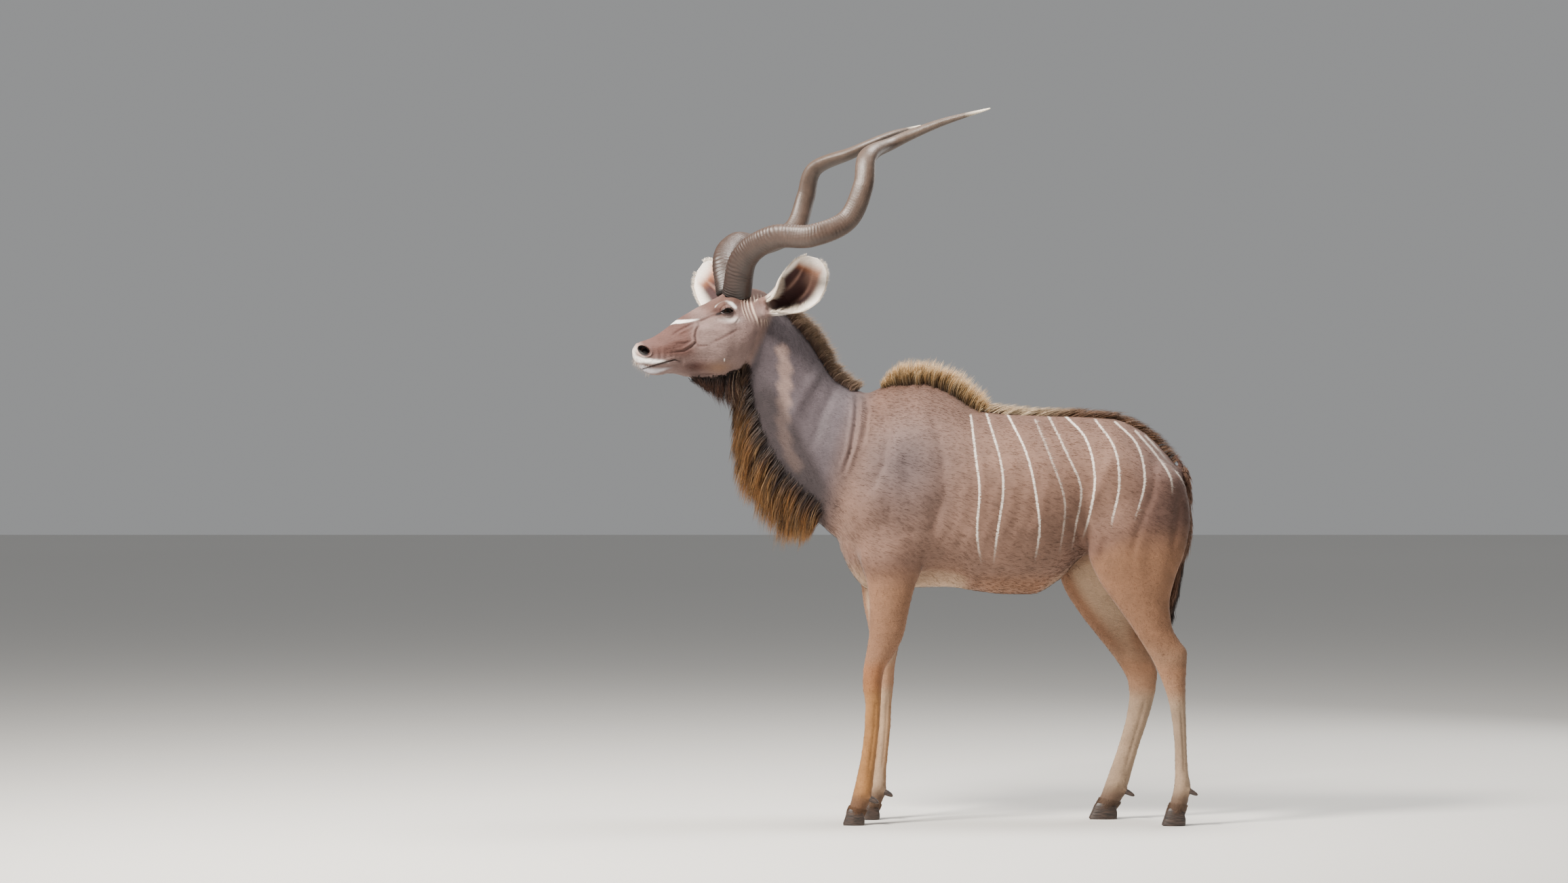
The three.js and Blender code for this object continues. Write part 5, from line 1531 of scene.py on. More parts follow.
@dataclass
class BackMane:
    """The mane along the nape, the crest over the withers and the low mane along the back."""

    nape_clumps: int = 460
    crest_clumps: int = 520
    dorsal_clumps: int = 420
    nape_root: tuple = ("#3e2d26", "#54403a", "#6b5244")
    nape_tip: tuple = ("#8f765f", "#b59a7c", "#7a604c")
    crest_root: tuple = ("#231712", "#35241c")
    crest_tip: tuple = ("#d2aa70", "#b98a50", "#e6cfa4")
    dorsal_front: tuple = ("#cbb79c", "#b0946f")
    dorsal_rear: tuple = ("#62452f", "#4c3526")

    def nape(self, material: Material) -> None:
        """Grow the mane behind the ears and down the nape."""
        draw, count = Draw(13), self.nape_clumps
        place = draw.even(count, 2.4, 9.4)
        swing = draw.near(count, 0.09)
        root = NECK_SURFACE.points(place, NAPE + swing)
        out = unit(root - (root + NECK_SURFACE.points(place, THROAT)) / 2)
        lean = unit(out + np.array([0.55, 0, -0.3]) + 2.0 * swing[:, None] * np.array([0, 1, 0]))
        length = ((46 + 26 * np.sin(math.pi * (place - 2.4) / 7)) * draw.even(count, 0.5, 1.0))[:, None]
        bend = root + out * length * 0.5 + draw.around(count, 2)
        strands = Clumps(12, 5.0, 4.0).spread(draw, root, bend, root + lean * length)
        coat = Coat("nape_mane")
        coat.add_toned(draw, strands, (0.9, 1.6), self.nape_root, self.nape_tip)
        coat.build(material)

    def crest(self, material: Material) -> None:
        """Grow the pale-tipped crest over the withers."""
        draw = Draw(14)
        _, root, tip = self.along_back(draw, self.crest_clumps, (-96, 232), 7, 5, CREST_EDGE, 2.0, 0.5)
        strands = Clumps(12, 5.0, 4.5).spread(draw, root, bowed(root, tip, (-0.16, 0, 0.1)), tip)
        coat = Coat("withers_crest", turn=1.3)
        coat.add_toned(draw, strands, (0.9, 1.6), self.crest_root, self.crest_tip)
        coat.build(material)

    def dorsal(self, material: Material) -> None:
        """Grow the short mane along the spine."""
        draw = Draw(15)
        x, root, tip = self.along_back(draw, self.dorsal_clumps, (215, 850), 6, 4, DORSAL_EDGE, 1.8, 0.55)
        tip = tip + np.array([16, 0, 0])
        bend = (root + tip) / 2 + np.array([-3, 0, 7])
        *strands, owner = Clumps(10, 4.5, 3.5).spread(draw, root, bend, tip)
        tone = draw.even(len(owner))
        rear = smoothstep(330, 520, x)[owner][:, None]
        low, high = (shades(draw, self.dorsal_front, tone) * (1 - rear) * front_gain
                     + shades(draw, self.dorsal_rear, tone) * rear * rear_gain
                     for front_gain, rear_gain in ((0.75, 1.0), (1.0, 1.25)))
        coat = Coat("dorsal_mane")
        coat.add(*strands, draw.even(len(owner), 0.9, 1.5), low, high)
        coat.build(material)

    def along_back(self, draw: Draw, count: int, span: tuple, spread: float, sink: float, outline: tuple,
                   fan: float, shortest: float) -> tuple[Array, Array, Array]:
        """Place clumps along the spine.

        Args:
            draw: Random numbers.
            count: How many clumps.
            span: First and last place along the body.
            spread: How far they stray sideways.
            sink: How deep they start in the skin.
            outline: The mane's outer edge in the side view.
            fan: How much wider than the roots the tips stand.
            shortest: The shortest clump as a share of the longest.

        Returns:
            Place along the body, root and tip of each clump.
        """
        share = draw.even(count)
        x = span[0] + share * (span[1] - span[0])
        side = draw.near(count, spread)
        line = TORSO_SURFACE.points(np.linspace(0, TORSO_SURFACE.last, 400), NAPE)[::-1]
        back = np.interp(x, line[:, 0], line[:, 2])
        root = np.stack([x, side, back - sink - 0.02 * side ** 2], axis=1)
        edge = side_line(outline)(share)
        edge[:, 1] = fan * side
        return x, root, root + (edge - root) * draw.even(count, shortest, 1.0)[:, None]


@dataclass
class TailHair:
    """The hair of the tail: brown, with a dark fringe behind and at the tip."""

    clumps: int = 640
    colours: tuple = ("#5e4436", "#7a5a48", "#4f382c")
    fringe: tuple = ("#231a17", "#33241e")
    length: float = 92.0

    def build(self, material: Material) -> None:
        """Grow the hair down the tail."""
        draw, count = Draw(16), self.clumps
        place = draw.even(count, 0.9, 8.9)
        angle = draw.even(count, 0, 2 * math.pi)
        root = TAIL_SURFACE.points(place, angle)
        out = unit(root - (root + TAIL_SURFACE.points(place, angle + math.pi)) / 2)
        ahead = TAIL_SURFACE.points(np.minimum(place + 0.4, 9), angle)
        down = unit(ahead - root + np.array([0, 0, -1e-3]))
        length = self.length * smoothstep(0.2, 3.0, place) * draw.even(count, 0.45, 0.95)
        length = (length * (1 - 0.45 * smoothstep(6.5, 9, place)))[:, None]
        tip = root + down * length + out * (4 + 0.1 * length)
        bend = root + down * length * 0.4 + out * (3 + 0.12 * length)
        *strands, owner = Clumps(12, 3.5, 3.5).spread(draw, root, bend, tip)
        tone = draw.even(len(owner))
        behind = (((np.sin(angle) < -0.35) & (place > 4.6)) | (place > 7.4))[owner][:, None]
        low, high = (
            np.where(behind, shades(draw, self.fringe, tone), shades(draw, self.colours, tone) * gain)
            for gain in (1.0, 1.15))
        coat = Coat("tail_hair")
        coat.add(*strands, draw.even(len(owner), 1.0, 1.8), low, high)
        coat.build(material, "tail_hair")


@dataclass
class EarHair:
    """Pale hair along the rims of the ears and in front of the cups."""

    strands: int = 4600
    pale: tuple = ("#f2ece4", "#d9cbbb", "#c9b49c")

    def build(self, material: Material) -> None:
        """Grow the rims' fringes and the tufts inside."""
        coat = Coat("ear_hair", 2)
        for side in SIDES:
            draw = Draw(17 + side)
            for rim in (True, False):
                self.grow(coat, draw, Ear(side), rim)
        coat.build(material, "ear_coat")

    def grow(self, coat: Coat, draw: Draw, ear: Ear, rim: bool) -> None:
        """Grow the hair on an ear's rim, or the tufts inside its front half.

        Args:
            coat: The coat that gathers it.
            draw: Random numbers.
            ear: The ear.
            rim: Whether it is the rim's.
        """
        count = self.strands // 2
        share = draw.even(count, *((0.03, 0.985) if rim else (0.02, 0.46)))
        front = -1 if ear.frame(np.array([0.2]))[3][0, 0] > 0 else 1
        edge = np.where(draw.even(count) < (0.5 if rim else 0.2), -front, front)
        swing = edge * draw.even(count, 0.93 if rim else 0.6, 1.0)
        radius, half, bow = ear.curl(share)
        centre, along, facing, across = ear.frame(share)
        sine, cosine = np.sin(half * swing)[:, None], np.cos(half * swing)[:, None]
        root = centre + across * (radius[:, None] * sine) + facing * ((2.0 - bow)[:, None]
                                                                      + radius[:, None] * (1 - cosine))
        inward = -(across * cosine + facing * sine) * np.sign(swing)[:, None]
        if rim:
            length = draw.even(count, 7, 15)[:, None]
            lean = along * 0.8 - inward * 0.5 + facing * 0.35
        else:
            length = (draw.even(count, 22, 50) * smoothstep(0.62, 0.1, share))[:, None]
            off = facing * cosine - across * sine
            root = root + off * 3.5
            lean = along * 0.9 + inward * 0.5 + off * 0.4
        tip = root + unit(lean + draw.around(count, 0.16)) * length
        strands = (root, (root + tip) / 2 + facing * 0.12 * length, tip)
        coat.add_toned(draw, [head_to_body(p) for p in strands], (0.5, 0.9), self.pale, self.pale)


class Area(Enum):
    """Parts of the body that carry short tufts."""

    TRUNK = "trunk"
    NECK = "neck"
    HEAD = "head"
    LEGS = "legs"


@dataclass
class ShortCoat:
    """Short tufts that lie along the body and break its outline on every side."""

    hide: Hide
    lift: float = 0.09

    def build(self, area: Area, count: int, length: tuple, width: tuple, seed: int,
              material: Material) -> None:
        """Grow the tufts of one area.

        Args:
            area: The part of the body.
            count: How many tufts.
            length: Shortest and longest tuft.
            width: Narrowest and widest tuft.
            seed: Seed of the random draws.
            material: The finish of the coat.
        """
        draw = Draw(seed)
        points, faces = self.hide.points, self.hide.faces
        a, b, c = (points[faces[:, k]] for k in range(3))
        centre = points[faces].mean(axis=1)
        weight = np.linalg.norm(np.cross(b - a, c - a), axis=1) * self.density(centre, area)
        pick = draw.source.choice(len(faces), count, p=weight / weight.sum())
        share = draw.source.dirichlet((1, 1, 1), count)[..., None]
        root = (points[faces[pick]] * share).sum(axis=1)
        out = unit((self.hide.normals[faces[pick]] * share).sum(axis=1))
        lie = along_skin(unit(self.flow(root, out) + draw.around(count, 0.12)), out)
        colour, marks = MARKINGS.pelt(root)
        stripe = MARKINGS.mark_reach * marks[:, :1]
        reach = draw.even(count, *length)[:, None]
        reach = reach * (1 - 0.7 * marks[:, 1:2] * smoothstep(16, 4, stripe))  # keeps the stripes clean
        stand = self.lift * draw.even(count, 0.5, 1.5)[:, None]
        tip = root + lie * reach + out * stand * reach
        bend = root + lie * reach * 0.45 + out * stand * reach * 0.95
        colour = colour * (1.06 + draw.even(count, -0.13, 0.13))[:, None]
        coat = Coat("coat_" + area.value, 2)
        coat.add(root - out * 0.8, bend, tip, draw.even(count, *width), colour, colour * 1.12, marks, out)
        coat.build(material)

    def density(self, points: Array, area: Area) -> Array:
        """How closely the tufts of an area stand at each place."""
        zone = Zones(points)
        if area is Area.TRUNK:
            return zone.trunk * (0.55 + 0.45 * smoothstep(150, 60, np.abs(zone.y)))
        if area is Area.NECK:
            return zone.neck
        if area is Area.LEGS:
            return zone.legs * (0.4 + 0.6 * smoothstep(60, 120, zone.z))
        u, _, w = zone.local.T
        bare = np.clip(blob(zone.local, (-430, 34, -118), (26, 60, 34)) * 2, 0, 1)
        eye = np.hypot(u - EYE_AT[0], w - EYE_AT[2]) > 25
        return (zone.head > 0.5) * (1 - bare) * eye * (0.4 + 0.6 * (u > -380))

    def flow(self, points: Array, out: Array) -> Array:
        """The way the hair lies at each place, along the skin."""
        zone = Zones(points)
        way = np.where(zone.neck[:, None] > 0.5, np.array([0.5, 0.0, -0.86]), np.array([0.96, 0.0, -0.28]))
        legs = zone.legs[:, None]
        way = way * (1 - legs) + np.array([0.12, 0.0, -1.0]) * legs
        way = np.where(zone.head[:, None] > 0.5, turned(np.array([[0.97, 0.0, 0.2]]), HEAD_TURN), way)
        return along_skin(way, out)


def along_skin(way: Array, out: Array) -> Array:
    """The part of each way that lies along the skin."""
    return unit(way - (way * out).sum(axis=1, keepdims=True) * out)


@dataclass
class Fringe:
    """Fine single hairs: lashes, whiskers and the hair over the hooves."""

    lash: tuple = ("#1a1211", "#2a1c18")
    whisker: tuple = ("#4a3a34", "#d8ccc2")
    lashes_each: int = 90
    whiskers_each: int = 130
    coronet_each: int = 1500

    def build(self, material: Material) -> None:
        """Grow the lashes, whiskers and hoof hairs."""
        coat = Coat("lashes_and_whiskers")
        draw = Draw(31)
        for side in SIDES:
            self.lashes(coat, draw, side)
            self.whiskers(coat, draw, side)
        for rows, side in LEGS.values():
            self.coronet(coat, draw, Loft(rows, Build.LIMB, side, shrink=1.5))
        coat.build(material)

    def lashes(self, coat: Coat, draw: Draw, side: int) -> None:
        """A ragged row on the upper lid."""
        count = self.lashes_each
        a = draw.even(count, -17, 19)
        rim = ALMOND.edge(a, upper=True)
        lean = unit(np.stack([0.25 + a / 40, np.full(count, 0.8), np.full(count, 0.25)], axis=1)
                    + draw.around(count, 0.1)) * draw.even(count, 9, 17)[:, None]
        strands = (rim, rim + lean * 0.5 + np.array([0, 0, -1.5]), rim + lean)
        strands = [head_to_body(points * (1, side, 1)) for points in strands]
        coat.add_toned(draw, strands, (0.4, 0.6), self.lash, self.lash)

    def whiskers(self, coat: Coat, draw: Draw, side: int) -> None:
        """Sparse stiff hairs round the lips and chin."""
        count = self.whiskers_each
        place = draw.even(count, 13.0, 16.2)
        angle = draw.even(count, -1.5, -0.3)
        angle = angle if side > 0 else math.pi - angle
        root, out = HEAD_SURFACE.points(place, angle), HEAD_SURFACE.out(place, angle)
        lean = unit(out + np.array([-0.5, 0, -0.5]) + draw.around(count, 0.2))
        tip = root + lean * draw.even(count, 8, 24)[:, None]
        strands = (root, (root + tip) / 2 + np.array([0, 0, 0.8]), tip)
        coat.add_toned(draw, strands, (0.35, 0.5), self.whisker, self.whisker)

    def coronet(self, coat: Coat, draw: Draw, leg: Loft) -> None:
        """Short hair that falls over the tops of the hooves."""
        count = self.coronet_each
        place = draw.even(count, leg.last - 0.75, leg.last)
        angle = draw.even(count, 0, 2 * math.pi)
        root, out = leg.points(place, angle), leg.out(place, angle) * np.array([1, 1, 0.2])
        length = draw.even(count, 6, 12)[:, None]
        tip = root + unit(np.array([-0.35, 0, -1]) + 0.26 * out + draw.around(count, 0.1)) * length
        colour, marks = MARKINGS.pelt(root)
        colour = colour * (1.05 + draw.even(count, -0.15, 0.15))[:, None]
        coat.add(root, (root + tip) / 2 + out * 1.2, tip, draw.even(count, 0.6, 1.0), colour, colour * 1.1,
                 marks, out)


@dataclass
class LidRim:
    """The dark edges of the lids round an eye."""

    side: int
    thick: float = 1.5
    steps: int = 60

    def build(self, material: Material) -> None:
        """A soft tube round the opening."""
        a = ALMOND.half_length * np.cos(np.linspace(0, math.pi, self.steps))
        loop = np.concatenate([ALMOND.edge(a, True), ALMOND.edge(a[::-1][1:-1], False)])
        tangent = unit(np.roll(loop, -1, axis=0) - np.roll(loop, 1, axis=0))
        out = unit(loop - EYE_AT)
        rings = tube(loop, self.thick, out, 1.3 * np.cross(tangent, out), 12) * (1, self.side, 1)
        count, sides = rings.shape[:2]
        a = np.arange(count * sides).reshape(count, sides)
        b, c = np.roll(a, -1, axis=1), np.roll(a, -1, axis=0)
        faces = np.stack([a, b, np.roll(c, -1, axis=1), c], axis=-1).reshape(-1, 4)
        points = head_to_body(rings.reshape(-1, 3))
        new_piece("lid_rim_" + SIDE_NAME[self.side], (points, faces), material, "coat")


@dataclass
class Eye:
    """A dark glossy eye with a level pupil."""

    side: int
    rings: int = 48
    sides: int = 64
    cornea: float = 1.2
    iris: float = 12.0
    pupil_stretch: float = 1.5  # how much longer than high the pupil is

    def build(self, material: Material) -> None:
        """A ball whose front bulges a little."""
        polar = np.linspace(0.02, math.pi - 0.02, self.rings)[:, None]
        swell = EYE_RADIUS + self.cornea * np.exp(-(polar / 0.5) ** 2)
        x, z = (swell * np.sin(polar) * way(round_turn(self.sides)) for way in (np.cos, np.sin))
        points, faces = closed_rings(np.stack([x, swell * np.cos(polar) + 0 * x, z], axis=-1))
        iris = np.hypot(points[:, 0] / self.pupil_stretch, points[:, 2]) / self.iris
        placed = head_to_body((points + EYE_AT) * (1, self.side, 1))
        name = SIDE_NAME[self.side]
        piece = new_piece("eyeball_" + name, (placed, faces), material, "eye", "eye_" + name)
        paint_points(piece, "Iris", np.where(points[:, 1] > 0, iris, 2.0))


@dataclass
class Horn:
    """One horn: a long open spiral with a keel, ridges near its base and a smooth tip."""

    side: int
    steps: int = 420
    sides: int = 60
    keel: float = 0.24
    turns: float = 2.2
    ridge_spacing: float = 10.5
    ridge_height: float = 2.1

    def path(self) -> Line:
        """The middle line in the head's frame."""
        return Line(np.array([(-forward, self.side * out, up) for forward, out, up in HORN_PATH]))

    def pedicle(self) -> Mesh:
        """The bony core under the horn, just inside its base."""
        base, ahead = self.path()(np.array([0.0, 0.02]))
        along = unit(ahead - base)
        level, radius = np.array(((-64, 36), (-30, 42), (-6, 42.5), (-1, 40), (2, 34))).T
        path = base + along * level[:, None]
        points, faces = closed_rings(tube(path, radius, *across_frame(along, (1.0, 0, 0)), 40))
        return head_to_body(points), faces

    def frames(self, centre: Array) -> tuple[Array, Array]:
        """Two directions across the horn at each place, carried along without twist."""
        tangent = unit(np.gradient(centre, axis=0))
        _, normal = across_frame(tangent[0], np.eye(3)[np.argmin(np.abs(tangent[0]))])
        across = [normal]
        for before, after in zip(tangent[:-1], tangent[1:]):
            turn = np.cross(before, after)
            size = np.linalg.norm(turn)
            if size > 1e-9:
                angle = math.acos(min(1.0, float(before @ after)))
                turn = turn / size
                normal = (normal * math.cos(angle) + np.cross(turn, normal) * math.sin(angle)
                          + turn * (turn @ normal) * (1 - math.cos(angle)))
            across.append(normal)
        across = np.array(across)
        return across, np.cross(tangent, across)

    def build(self, material: Material) -> None:
        """Shape the horn with its keel and ridges."""
        t = np.linspace(0, 1, self.steps)
        centre = self.path()(t)
        normal, binormal = (way[:, None] for way in self.frames(centre))
        radius = HORN_BASE_RADIUS * Reader(HORN_TAPER)(t * (len(HORN_TAPER) - 1))
        turn = round_turn(self.sides)
        turned_by = turn[None, :] + self.side * self.turns * t[:, None]
        keel = np.clip(np.cos(turn), 0, 1) ** 6
        reach = radius * (1 + self.keel * keel) * (1 - 0.14 * np.sin(turn) ** 2)
        length = np.concatenate([[0], np.cumsum(np.linalg.norm(np.diff(centre, axis=0), axis=1))])
        reach = reach + self.ridges(length[:, None], t[:, None], turn[None, :])
        rings = (centre[:, None] + reach[..., None] * (np.cos(turned_by)[..., None] * normal
                                                       + np.sin(turned_by)[..., None] * binormal))
        rings[-1] = centre[-1] + (rings[-1] - centre[-1]) * 0.5
        points, faces = closed_rings(rings)
        name = SIDE_NAME[self.side]
        shape = (head_to_body(points), faces)
        piece = new_piece("horn_sheath_" + name, shape, material, "horn", "horn_" + name)
        growth = np.stack([np.repeat(t, self.sides), np.tile(keel, self.steps),
                           np.tile(turn / (2 * math.pi), self.steps)], axis=1)
        paint_points(piece, "Growth", np.concatenate([growth, [[0.0, 0.0, 0.0], [1.0, 0.0, 0.0]]]))

    def ridges(self, length: Array, t: Array, turn: Array) -> Array:
        """Growth ridges across the horn, strongest near its base and on the front."""
        wander = 2.6 * np.sin(turn * 2 + length / 37) + 5.0 * np.sin(length / 31)
        wander = wander + 1.2 * np.sin(turn * 5 + length / 9)
        wave = np.sin(2 * math.pi * (length + wander) / self.ridge_spacing)
        strength = smoothstep(0.62, 0.02, t) * (0.55 + 0.35 * np.cos(turn) + 0.3 * np.sin(length / 13 + turn))
        lines = 0.25 * np.sin(turn * 23) + 0.2 * np.sin(turn * 37 + 1)
        return self.ridge_height * strength * np.abs(wave) ** 0.7 * np.sign(wave) * 0.7 + lines * (1 - t)


@dataclass
class Hoof:
    """The two toes of a foot."""

    name: str
    rings: int = 40
    sides: int = 56
    gap: float = 15.5

    def rows(self) -> tuple:
        """Stations of a toe: front x, front z, rear x, rear z, half width, from inside the leg down."""
        *_, (above, *_), (fx, fz, rx, rz, _, _) = LEGS[self.name][0]
        lean = (fx - above) * 0.5
        inset = lean * 0.3
        return ((fx + 5 - inset, fz + 9, rx - 5 - inset, rz + 9, 10.0),
                (fx + 1, fz - 0.3, rx - 1, rz - 0.3, 12.5),
                (fx + lean * 0.5 - 3, fz * 0.55, rx + 2, rz * 0.55, 14.0),
                (fx + lean - 8, 3, rx + 1, 3, 14.6), (fx + lean - 7, 0, rx - 1, 0, 13.8))

    def toe(self, lateral: int) -> Mesh:
        """One toe, pointed in front and flat below."""
        rows, side = LEGS[self.name]
        y = side * rows[-1][4] + lateral * self.gap
        place, turn = np.meshgrid(np.linspace(0, 4, self.rings), round_turn(self.sides), indexing="ij")
        ax, az, bx, bz, half = np.moveaxis(Reader(self.rows())(place), -1, 0)
        sine, cosine = np.sin(turn), np.cos(turn)
        narrow = np.where(sine > 0, 0.35, 0.05)
        wave = 0.35 * np.sin(place * 14) * smoothstep(4.0, 3.0, place) * smoothstep(0.8, 1.4, place)
        return closed_rings(np.stack([
            (ax + bx) / 2 + (ax - bx) / 2 * sine, y + (half + wave) * cosine * (1 - narrow * sine ** 2),
            (az + bz) / 2 + (az - bz) / 2 * sine], axis=-1))

    def build(self, material: Material) -> None:
        """Both toes as one piece."""
        new_piece("toes_" + self.name, joined([self.toe(lateral) for lateral in SIDES]), material, "hoof",
                  f"hoof_{self.name}_inner", f"hoof_{self.name}_outer")


@dataclass
class Dewclaws:
    """The two small claws behind a fetlock."""

    name: str
    root: float = -3.0
    length: float = 31.0

    def frame(self, lateral: int) -> tuple[Array, Array]:
        """Where a dewclaw grows behind the fetlock, and the way it points."""
        rows, side = LEGS[self.name]
        _, _, rx, rz, y, _ = rows[-3]
        base = np.array([rx - 6, side * y + lateral * 15, rz - 14], float)
        return base, unit(np.array([0.86, lateral * 0.28, -0.42]))

    def pad(self, lateral: int) -> Mesh:
        """The pad that a dewclaw grows from."""
        base, out = self.frame(lateral)
        level, radius = np.array(((-24, 13), (-8, 12), (2, 10.5), (6, 8.5))).T
        return closed_rings(tube(base + out * level[:, None], radius, *across_frame(out, (0, 1.0, 0)), 24))

    def claw(self, lateral: int) -> Mesh:
        """One claw, blunt at its end."""
        base, out = self.frame(lateral)
        first, second = across_frame(out, (0, 1.0, 0))
        t = np.linspace(0, 1, 24)[:, None]
        radius = (9.5 - 4.0 * t) * np.sqrt(np.clip(1 - (t * 0.98) ** 6, 0, 1)) + 0.2 * np.sin(t * 40)
        return closed_rings(tube(base + out * (self.root + self.length * t), radius, first, second * 0.8, 32))

    def build(self, material: Material) -> None:
        """Both claws as one piece."""
        new_piece("claws_" + self.name, joined([self.claw(lateral) for lateral in SIDES]), material, "hoof",
                  f"dewclaw_{self.name}_inner", f"dewclaw_{self.name}_outer")


def plug(tree: NodeTree, node: bpy.types.Node, inputs: dict) -> None:
    """Set the inputs of a shader node.

    Args:
        tree: The material's node tree.
        node: The node.
        inputs: For each named or numbered input a number, a hex colour, or the socket that feeds it.
    """
    for key, value in inputs.items():
        if isinstance(value, NodeSocket):
            tree.links.new(value, node.inputs[key])
        else:
            node.inputs[key].default_value = (*linear(value), 1) if isinstance(value, str) else value


def add_node(tree: NodeTree, kind: str, inputs: dict | None = None, stops: tuple = (),
             **settings: str) -> bpy.types.bpy_prop_collection:
    """Add a shader node.

    Args:
        tree: The material's node tree.
        kind: The node's type name, after ShaderNode.
        inputs: What its inputs take, as in plug.
        stops: Places and hex colours of a colour ramp.
        settings: Properties by name.

    Returns:
        The node's outputs.
    """
    node = tree.nodes.new("ShaderNode" + kind)
    for key, value in settings.items():
        setattr(node, key, value)
    for _ in stops[2:]:
        node.color_ramp.elements.new(0.5)
    for element, (place, colour) in zip(node.color_ramp.elements if stops else (), stops):
        element.position, element.color = place, (*linear(colour), 1.0)
    plug(tree, node, inputs or {})
    return node.outputs


@dataclass(frozen=True)
class Finish:
    """A material. Patterns lie in the object's own metres, so noise of scale 1000 has grains of 1 mm."""

    name: str

    def make(self) -> Material:
        """Make the material with a principled shader."""
        material = bpy.data.materials.new(self.name)
        material.use_nodes = True
        tree = material.node_tree
        shader = next(node for node in tree.nodes if node.type == "BSDF_PRINCIPLED")
        plug(tree, shader, self.wire(tree, add_node(tree, "TexCoord")["Object"]))
        return material

    def wire(self, tree: NodeTree, place: NodeSocket) -> dict:
        """Build the pattern.

        Args:
            tree: The material's node tree.
            place: The socket that gives the place on the object.

        Returns:
            What each of the shader's inputs takes.
        """
        raise NotImplementedError


@dataclass(frozen=True)
class CoatFinish(Finish):
    """Short hair over skin, dull and warm, with the fine streaks that make it read as hair.

    Streaks are 2 to 4 mm across and 15 mm along, grain is below 1 mm, mottles are 4 cm, patches 14 cm.
    """

    name: str = "KuduCoat"
    white: str = "#ddd3c8"
    stripe_half: float = 2.6  # half width of a stripe in millimetres
    roughness: float = 0.72
    bare_roughness: float = 0.5

    def wire(self, tree: NodeTree, place: NodeSocket) -> dict:
        """Brown hair with white stripes, smoother where the skin is bare."""
        pelt = add_node(tree, "Attribute", attribute_name="Pelt")["Color"]
        marks = add_node(tree, "Attribute", attribute_name="Marks")["Color"]
        split = add_node(tree, "SeparateColor", {"Color": marks})
        stretch = add_node(tree, "Mapping", {"Vector": place, "Rotation": (0, 0.35, 0),
                                             "Scale": (0.22, 1, 1)})["Vector"]
        streak, mottle, patches, fine = (
            add_node(tree, "TexNoise", {"Vector": source, "Scale": scale, "Detail": detail,
                                        "Roughness": rough})["Fac"]
            for source, scale, detail, rough in ((stretch, 330, 4, 0.6), (place, 26, 5, 0.62),
                                                 (place, 7, 3, 0.55), (place, 1400, 2, 0.6)))
        wobble = add_node(tree, "Math", {0: streak, 1: 0.24, 2: -0.12}, operation="MULTIPLY_ADD")[0]
        off = add_node(tree, "Math", {0: split["Red"], 1: wobble}, operation="ADD")[0]
        edge = self.stripe_half / MARKINGS.mark_reach
        inside = add_node(tree, "MapRange", {"Value": off, "From Min": edge + 0.05,
                                             "From Max": edge - 0.02})[0]
        stripe = add_node(tree, "Math", {0: inside, 1: split["Green"]}, operation="MULTIPLY")[0]
        shade = add_node(tree, "Math", {0: streak, 1: 0.55, 2: 0.74}, operation="MULTIPLY_ADD")[0]
        both_spots = add_node(tree, "Math", {0: mottle, 1: patches}, operation="ADD")[0]
        spots = add_node(tree, "Math", {0: both_spots, 1: 0.62, 2: 0.38}, operation="MULTIPLY_ADD")[0]
        both = add_node(tree, "Math", {0: shade, 1: spots}, operation="MULTIPLY")[0]
        base = add_node(tree, "VectorMath", {0: pelt, "Scale": both}, operation="SCALE")["Vector"]
        colour = add_node(tree, "Mix", {0: stripe, 6: base, 7: self.white}, data_type="RGBA")[2]
        rough = add_node(tree, "MapRange", {"Value": split["Blue"], "To Min": self.roughness,
                                            "To Max": self.bare_roughness})[0]
        grain = add_node(tree, "Bump", {"Height": fine, "Strength": 0.35, "Distance": 0.0008})["Normal"]
        hair = add_node(tree, "Bump", {"Height": streak, "Normal": grain, "Strength": 0.55,
                                       "Distance": 0.0022})["Normal"]
        return {"Base Color": colour, "Roughness": rough, "Normal": hair, "Specular IOR Level": 0.25,
                "Sheen Weight": 0.08, "Sheen Roughness": 0.5}


@dataclass(frozen=True)
class HairFinish(Finish):
    """Long coarse hair, a little glossy, in tones that change over 2 cm, so that the clumps part."""

    name: str = "KuduManeHair"
    roughness: float = 0.5

    def wire(self, tree: NodeTree, place: NodeSocket) -> dict:
        """The strands' own colours, lighter and darker by place."""
        pelt = add_node(tree, "Attribute", attribute_name="Pelt")["Color"]
        noise = add_node(tree, "TexNoise", {"Vector": place, "Scale": 60, "Detail": 4})["Fac"]
        shade = add_node(tree, "Math", {0: noise, 1: 0.7, 2: 0.65}, operation="MULTIPLY_ADD")[0]
        base = add_node(tree, "VectorMath", {0: pelt, "Scale": shade}, operation="SCALE")["Vector"]
        return {"Base Color": base, "Roughness": self.roughness, "Specular IOR Level": 0.35}


